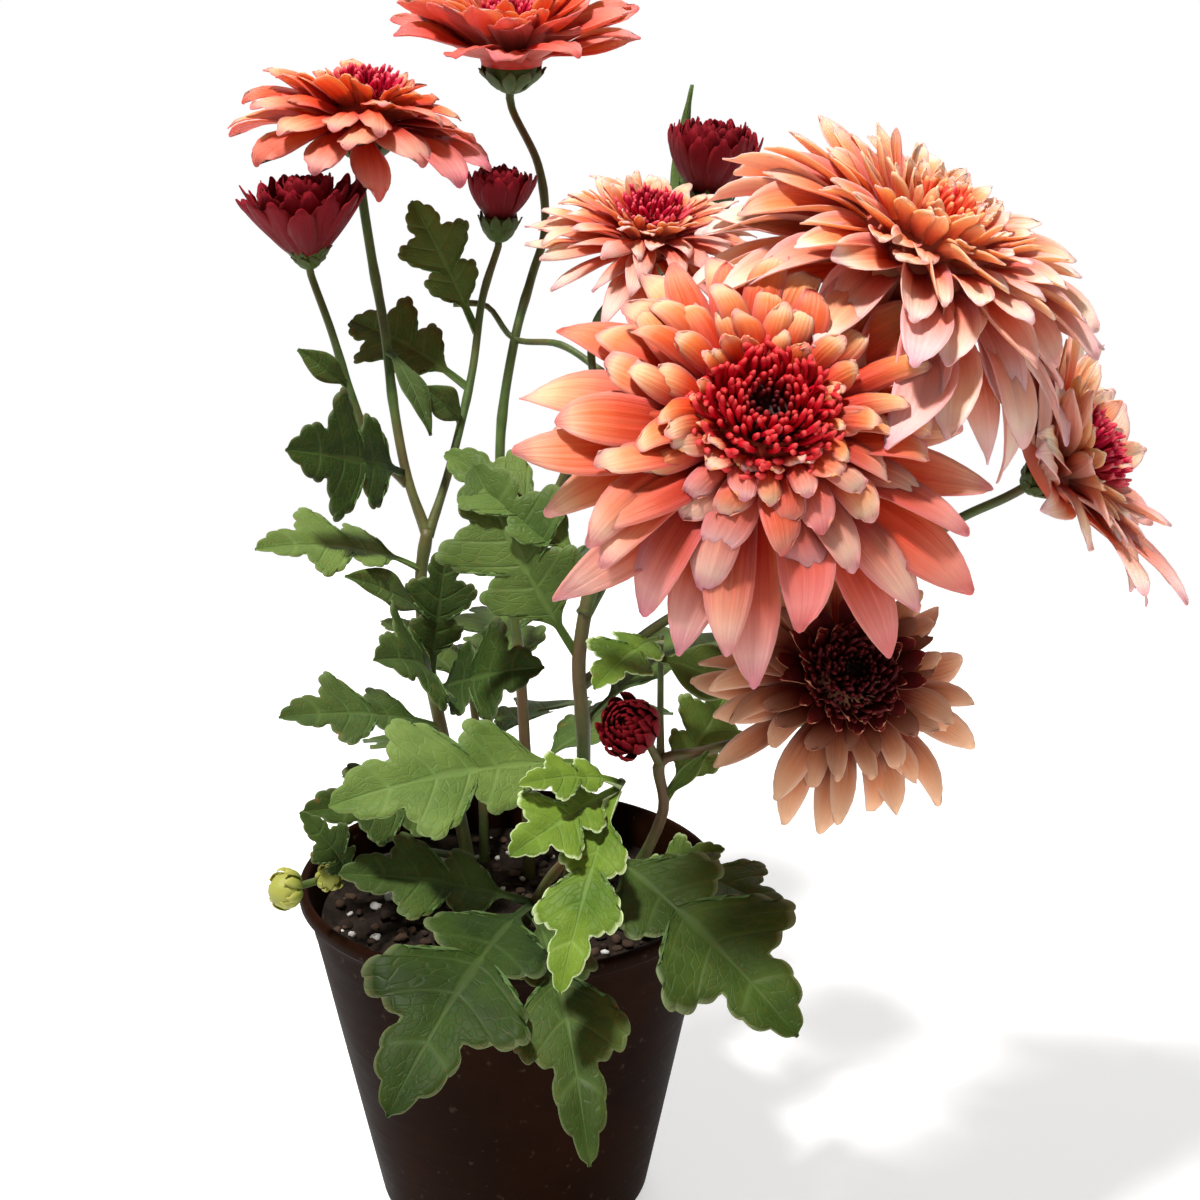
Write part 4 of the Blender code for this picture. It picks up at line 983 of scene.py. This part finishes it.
def shaded_petal_look():
    """The same petals with painted shade, for the low head in the shadow of the heads above: darker and
    browner, with maroon roots.
    """
    look = Look("shaded_petal", Roughness=0.65, Specular_IOR_Level=0.08)
    along, across, inner, under = look.marks("along across inner under")
    streak = look.streaks(across, along, 5.0)
    # both ramps are the coral petals darkened as painted shade
    outer = look.ramp(
        along, (0.0, (0.05, 0.002, 0.002)), (0.40, (0.22, 0.010, 0.006)), (0.66, (0.66, 0.23, 0.10)),
        (1.0, (0.96, 0.58, 0.36)))
    near = look.ramp(
        along, (0.0, (0.02, 0.001, 0.001)), (0.75, (0.055, 0.002, 0.002)), (0.93, (0.11, 0.006, 0.005)),
        (1.0, (0.26, 0.040, 0.025)))
    top = look.mix(look.ramp(inner, (0.2, 0.0), (0.72, 1.0)), outer, near)
    outermost = look.ramp(inner, (0.2, 1.0), (0.6, 0.0))
    pale = look.times(look.ramp(streak, (0.4, 0.0), (0.8, 0.4)), outermost)
    top = look.mix(pale, top, (0.72, 0.40, 0.25))
    top = look.mix(look.times(look.times(look.margin(across), along), outermost), top, (0.86, 0.56, 0.42))
    colour = look.mix(under, top, (0.50, 0.20, 0.12))
    return look.finish(colour, streak, 0.0004, 0.5)


def quill_look(name, root, body, mouth, hollow):
    """Centre quills: dark at the root, light at the mouths and all along the outermost ring, with the
    innermost rings sunk into the hollow's colour, which on the crimson and shaded sets is near black:
    painted shade in the centre's hollow."""
    look = Look(name, Roughness=0.55, Specular_IOR_Level=0.12)
    along, inner, tone = look.marks("along inner tone")
    colour = look.ramp(along, (0.0, root), (0.55, body), (0.84, body), (1.0, mouth))
    colour = look.mix(look.times(tone, 0.35), colour, body)
    colour = look.mix(look.times(look.ramp(inner, (0.0, 0.8), (0.2, 0.0)), along), colour, mouth)
    # near black on the crimson and shaded sets: painted shade in the centre's hollow
    colour = look.mix(look.ramp(inner, (0.62, 0.0), (0.92, 0.95)), colour, hollow)
    return look.finish(colour, look.noise(look.place(), 900.0), 0.0002, 0.4)


def bud_look():
    """Dark crimson bud petals with lighter streaks and margins, brown at the very root."""
    look = Look("bud_petal", Roughness=0.55, Specular_IOR_Level=0.10)
    along, across, under = look.marks("along across under")
    streak = look.streaks(across, along, 6.0, 2.5)
    colour = look.ramp(
        along, (0.0, (0.04, 0.010, 0.003)), (0.35, (0.100, 0.002, 0.005)), (1.0, (0.22, 0.003, 0.011)))
    colour = look.mix(look.ramp(streak, (0.4, 0.0), (0.8, 0.5)), colour, (0.31, 0.007, 0.020))
    colour = look.mix(look.times(look.margin(across), 0.4), colour, (0.28, 0.03, 0.024))
    colour = look.mix(look.times(under, 0.35), colour, (0.12, 0.004, 0.006))
    return look.finish(colour, streak, 0.0004, 0.6)


def leaf_look():
    """Lobed leaves: two greens in soft patches, pale veins along the margin's own steps, a fine net
    between them, a light edge that is strongest on young leaves, patches of brown spots towards the
    margins, and a paler underside. Each leaf's lightness mark mixes the two greens and strengthens its
    veins; it is partly the leaf's own green and partly painted shade on leaves in the heads' shadow."""
    look = Look("leaf", Specular_IOR_Level=0.14, Subsurface_Weight=0.05, Subsurface_Scale=0.003)
    rib, run, light, young, under, grain = look.marks("rib run light young under grain")
    place = look.place()
    patch = look.noise(place, 55.0, 4.0)
    dark = look.ramp(patch, (0.3, (0.006, 0.016, 0.0012)), (0.75, (0.022, 0.052, 0.0045)))
    pale = look.ramp(patch, (0.3, (0.058, 0.110, 0.017)), (0.75, (0.150, 0.225, 0.048)))
    fresh = look.ramp(patch, (0.3, (0.060, 0.120, 0.007)), (0.75, (0.185, 0.280, 0.030)))
    # lightness mark: partly the leaf's own green, partly painted shade on leaves in shadow
    colour = look.mix(young, look.mix(light, dark, pale), fresh)
    away = look.maths("ABSOLUTE", rib)
    stops = [(at + step, 1.0 - bool(step)) for at in VEINS for step in (-0.012, 0.0, 0.012)]
    side_veins = look.ramp(run, (0.0, 0.0), *stops)
    side_veins = look.times(side_veins, look.ramp(away, (0.0, 1.0), (0.75, 0.55), (0.97, 0.0)))
    midrib = look.ramp(away, (0.0, 1.0), (0.045, 0.8), (0.09, 0.0))
    cells = {"Vector": look.vector(look.times(run, 26.0), look.times(rib, 3.2), grain), "Scale": 1.6}
    net = look.add("TexVoronoi", cells, "Distance", feature="DISTANCE_TO_EDGE")
    net = look.ramp(net, (0.0, 1.0), (0.10, 0.0))
    veins = look.maths("MAXIMUM", look.maths("MAXIMUM", side_veins, midrib), look.times(net, 0.35))
    # vein contrast follows the lightness mark, so it is lower where that mark paints shade
    strength = look.maths("ADD", 0.10, look.times(light, 0.16))
    colour = look.mix(look.times(veins, strength), colour, (0.20, 0.30, 0.09))
    rim = look.ramp(away, (0.90, 0.0), (1.0, 1.0))
    rim = look.times(rim, look.maths("ADD", look.times(young, 0.75), 0.10))
    colour = look.mix(rim, colour, (0.62, 0.72, 0.38))
    spots = look.ramp(look.noise(place, 210.0, 3.0), (0.64, 0.0), (0.72, 1.0))
    where = look.ramp(look.noise(place, 30.0), (0.5, 0.0), (0.62, 0.7))
    colour = look.mix(look.times(spots, look.times(where, away)), colour, (0.16, 0.09, 0.02))
    colour = look.mix(look.times(under, 0.65), colour, (0.10, 0.17, 0.05))
    relief = look.maths("SUBTRACT", look.times(look.noise(place, 420.0, 2.0), 0.4), veins)
    rough = look.ramp(patch, (0.3, 0.50), (0.8, 0.66))
    return look.finish(colour, relief, 0.0005, 0.6, Roughness=rough)


def shoot_look():
    """Green shoots that turn reddish brown in long patches, the main shoot more than its branches."""
    look = Look("shoot", Roughness=0.5, Specular_IOR_Level=0.35)
    place = look.place()
    stretched = look.add("Mapping", {"Vector": place, "Scale": (1.0, 1.0, 0.35)})
    patch = look.noise(stretched, 60.0, 4.0)
    green = look.ramp(look.noise(place, 160.0), (0.3, (0.034, 0.068, 0.012)), (0.8, (0.090, 0.140, 0.028)))
    patch = look.ramp(patch, (0.38, 0.0), (0.62, 1.0))
    share = look.times(patch, look.maths("ADD", look.mark("tone"), 0.15))
    colour = look.mix(share, green, (0.12, 0.040, 0.020))
    return look.finish(colour, look.noise(stretched, 700.0, 2.0), 0.0003, 0.5)


def bract_look():
    """Dull green cups and bracts with paler margins."""
    look = Look("bract", Roughness=0.6, Specular_IOR_Level=0.2)
    along, across = look.marks("along across")
    colour = look.ramp(
        along, (0.0, (0.055, 0.085, 0.012)), (0.6, (0.040, 0.066, 0.010)), (1.0, (0.060, 0.055, 0.014)))
    colour = look.mix(look.times(look.margin(across), 0.3), colour, (0.14, 0.14, 0.05))
    return look.finish(colour, look.noise(look.place(), 600.0), 0.0003, 0.5)


def green_bud_look():
    """Closed buds, green at the foot and yellow at the crown."""
    look = Look("green_bud", Roughness=0.55, Specular_IOR_Level=0.3)
    colour = look.ramp(
        look.mark("along"), (0.0, (0.06, 0.10, 0.012)), (0.5, (0.20, 0.24, 0.035)), (1.0, (0.38, 0.36, 0.07)))
    return look.finish(colour, look.noise(look.place(), 500.0), 0.0004, 0.5)


def pot_look():
    """Thin dark plastic: near-black brown, dull patches and fine scratches round it."""
    look = Look("pot_plastic", Specular_IOR_Level=0.02)
    place = look.place()
    dust = look.noise(place, 28.0, 5.0, 0.6)
    fine = look.noise(look.add("Mapping", {"Vector": place, "Scale": (1.0, 1.0, 12.0)}), 60.0, 3.0)
    colour = look.ramp(dust, (0.3, (0.0060, 0.0018, 0.0006)), (0.75, (0.018, 0.0054, 0.0018)))
    specks = look.ramp(look.noise(place, 330.0, 2.0), (0.66, 0.0), (0.74, 0.35))
    colour = look.mix(specks, colour, (0.07, 0.045, 0.03))
    rough = look.maths("ADD", look.times(dust, 0.7), look.times(fine, 0.3))
    rough = look.ramp(rough, (0.3, 0.44), (0.75, 0.66))
    return look.finish(colour, fine, 0.0002, 0.25, Roughness=rough)


def soil_look():
    """Dark peat in fine crumbs."""
    look = Look("peat", Roughness=0.95, Specular_IOR_Level=0.15)
    place = look.place()
    grain = look.noise(place, 190.0, 6.0, 0.65)
    colour = look.ramp(
        grain, (0.3, (0.006, 0.004, 0.003)), (0.6, (0.022, 0.014, 0.009)), (0.85, (0.060, 0.038, 0.024)))
    return look.finish(colour, look.noise(place, 520.0, 6.0, 0.7), 0.0012, 0.9)


def crumb_look(name, dark, pale):
    """Loose grains, each of its own shade between two, with fine grit."""
    look = Look(name, Roughness=0.9, Specular_IOR_Level=0.2)
    colour = look.mix(look.mark("tone"), dark, pale)
    grit = look.noise(look.place(), 900.0, 3.0)
    colour = look.mix(look.times(grit, 0.4), colour, dark)
    return look.finish(colour, grit, 0.0005, 0.7)


# The plant in its pot


def drilled(pot):
    """The pot with the four drain holes of the CAD pot cut through its floor."""
    for number in range(DRAINS):
        angle = 2 * math.pi * number / DRAINS
        place = (DRAIN_RING_R * MM * math.cos(angle), DRAIN_RING_R * MM * math.sin(angle), 0.0)
        bpy.ops.mesh.primitive_cylinder_add(vertices=32, radius=DRAIN_R * MM, depth=20 * MM, location=place)
        drill = bpy.context.object
        cut = pot.modifiers.new("drain", "BOOLEAN")
        cut.operation = "DIFFERENCE"
        cut.object = drill
        bpy.context.view_layer.update()
        graph = bpy.context.evaluated_depsgraph_get()
        mesh = bpy.data.meshes.new_from_object(pot.evaluated_get(graph))
        pot.modifiers.clear()
        pot.data = mesh
        bpy.data.objects.remove(drill)


def build_plant():
    """Shoots, leaves, cups, heads, buds: all pieces that replace the plant's nodes."""
    leaf, shoot, bract = leaf_look(), shoot_look(), bract_look()
    for name, values in STEMS.items():
        shoots, leaves, cups = stem_parts(name, values)
        node = f"stem_{name}"
        make_piece(f"shoots_{name}", shoots, shoot, "leaf_green", node)
        make_piece(f"leaves_{name}", leaves, leaf, "leaf_green", node)
        if cups:
            make_piece(f"cups_{name}", cups, bract, "leaf_green", node)
    coral, shaded = petal_look(), shaded_petal_look()
    quills = {name: quill_look(f"{name}_quill", *colours) for name, colours in QUILL_COLOURS.items()}
    for name, values in HEADS.items():
        kind = values[3]
        # the low head takes the shaded petals and quills, colours with painted shade
        centre = {"dome": "orange", "low": "shaded", "open": "crimson"}.get(kind, "rose")
        flower_head(name, values, shaded if kind == "low" else coral, quills[centre])
    crimson = bud_look()
    for name, values in BUDS.items():
        bud(name, values, crimson)
    shapes = [green_bud(*values) for values in GREEN_BUDS]
    make_piece("green_buds", joined(*shapes), green_bud_look(), "leaf_green", "stem_left")


def build_pot():
    """The pot and the soil with its perlite and bark."""
    pot = make_piece("nursery_pot", pot_wall(), pot_look(), "pot_brown", "pot")
    drilled(pot)
    make_piece("soil_bed", soil_bed(), soil_look(), "earth", "soil")
    white = crumb_look("perlite_white", (0.45, 0.43, 0.40), (0.80, 0.78, 0.74))
    make_piece("perlite", crumbs(70, 0.7, 1.5, 0.8, 8), white, "earth", "soil")
    brown = crumb_look("bark_brown", (0.012, 0.007, 0.005), (0.075, 0.042, 0.025))
    make_piece("bark_bits", crumbs(260, 0.8, 2.2, 0.6, 9), brown, "earth", "soil")


def build_stage():
    """A pale round floor, a white studio that greys overhead, and three soft lamps aimed at the plant."""
    turn = 2 * np.pi * np.arange(96) / 96
    ring = np.stack([FLOOR_R * np.cos(turn), FLOOR_R * np.sin(turn), 0 * turn - FLOOR_DROP], -1)
    mesh = bpy.data.meshes.new("floor")
    mesh.from_pydata(ring, [], [tuple(range(96))])
    mesh.materials.append(Look(
        "pale_floor", Roughness=0.8, Base_Color=(0.62, 0.62, 0.61, 1.0),
        Emission_Color=(1.0, 1.0, 1.0, 1.0), Emission_Strength=0.55,
    ).material)
    floor = link("floor", mesh)

    world = bpy.data.worlds.new("studio")
    world.use_nodes = True
    tree = world.node_tree
    split = tree.nodes.new("ShaderNodeSeparateXYZ")
    tree.links.new(tree.nodes.new("ShaderNodeTexCoord").outputs["Generated"], split.inputs[0])
    sky = tree.nodes.new("ShaderNodeValToRGB")
    tree.links.new(split.outputs[2], sky.inputs[0])
    for point, (at, grey) in zip(sky.color_ramp.elements, SKY):
        point.position = at
        point.color = (grey, grey, grey, 1.0)
    tree.links.new(sky.outputs[0], tree.nodes["Background"].inputs["Color"])
    bpy.context.scene.world = world
    for name, (place, size, power, colour) in LAMPS.items():
        light = bpy.data.lights.new(name, "AREA")
        light.energy, light.size, light.color = power, size, colour
        lamp = link(name, light)
        lamp.location = place
        aim = np.array(LAMPS_AIM) - place
        tilt = math.acos(-aim[2] / np.linalg.norm(aim))
        lamp.rotation_euler = (tilt, 0.0, math.atan2(aim[1], aim[0]) - math.pi / 2)


def build_camera():
    """The camera at the photograph's place and angle, and plain display colours."""
    view = bpy.data.cameras.new("view")
    view.lens, view.sensor_width = LENS_MM, SENSOR_MM
    camera = link("view", view)
    camera.location = CAMERA_PLACE
    camera.rotation_euler = (math.radians(CAMERA_TILT), 0.0, 0.0)
    bpy.context.scene.camera = camera
    bpy.context.scene.view_settings.view_transform = "Standard"


build_plant()
build_pot()
build_stage()
build_camera()
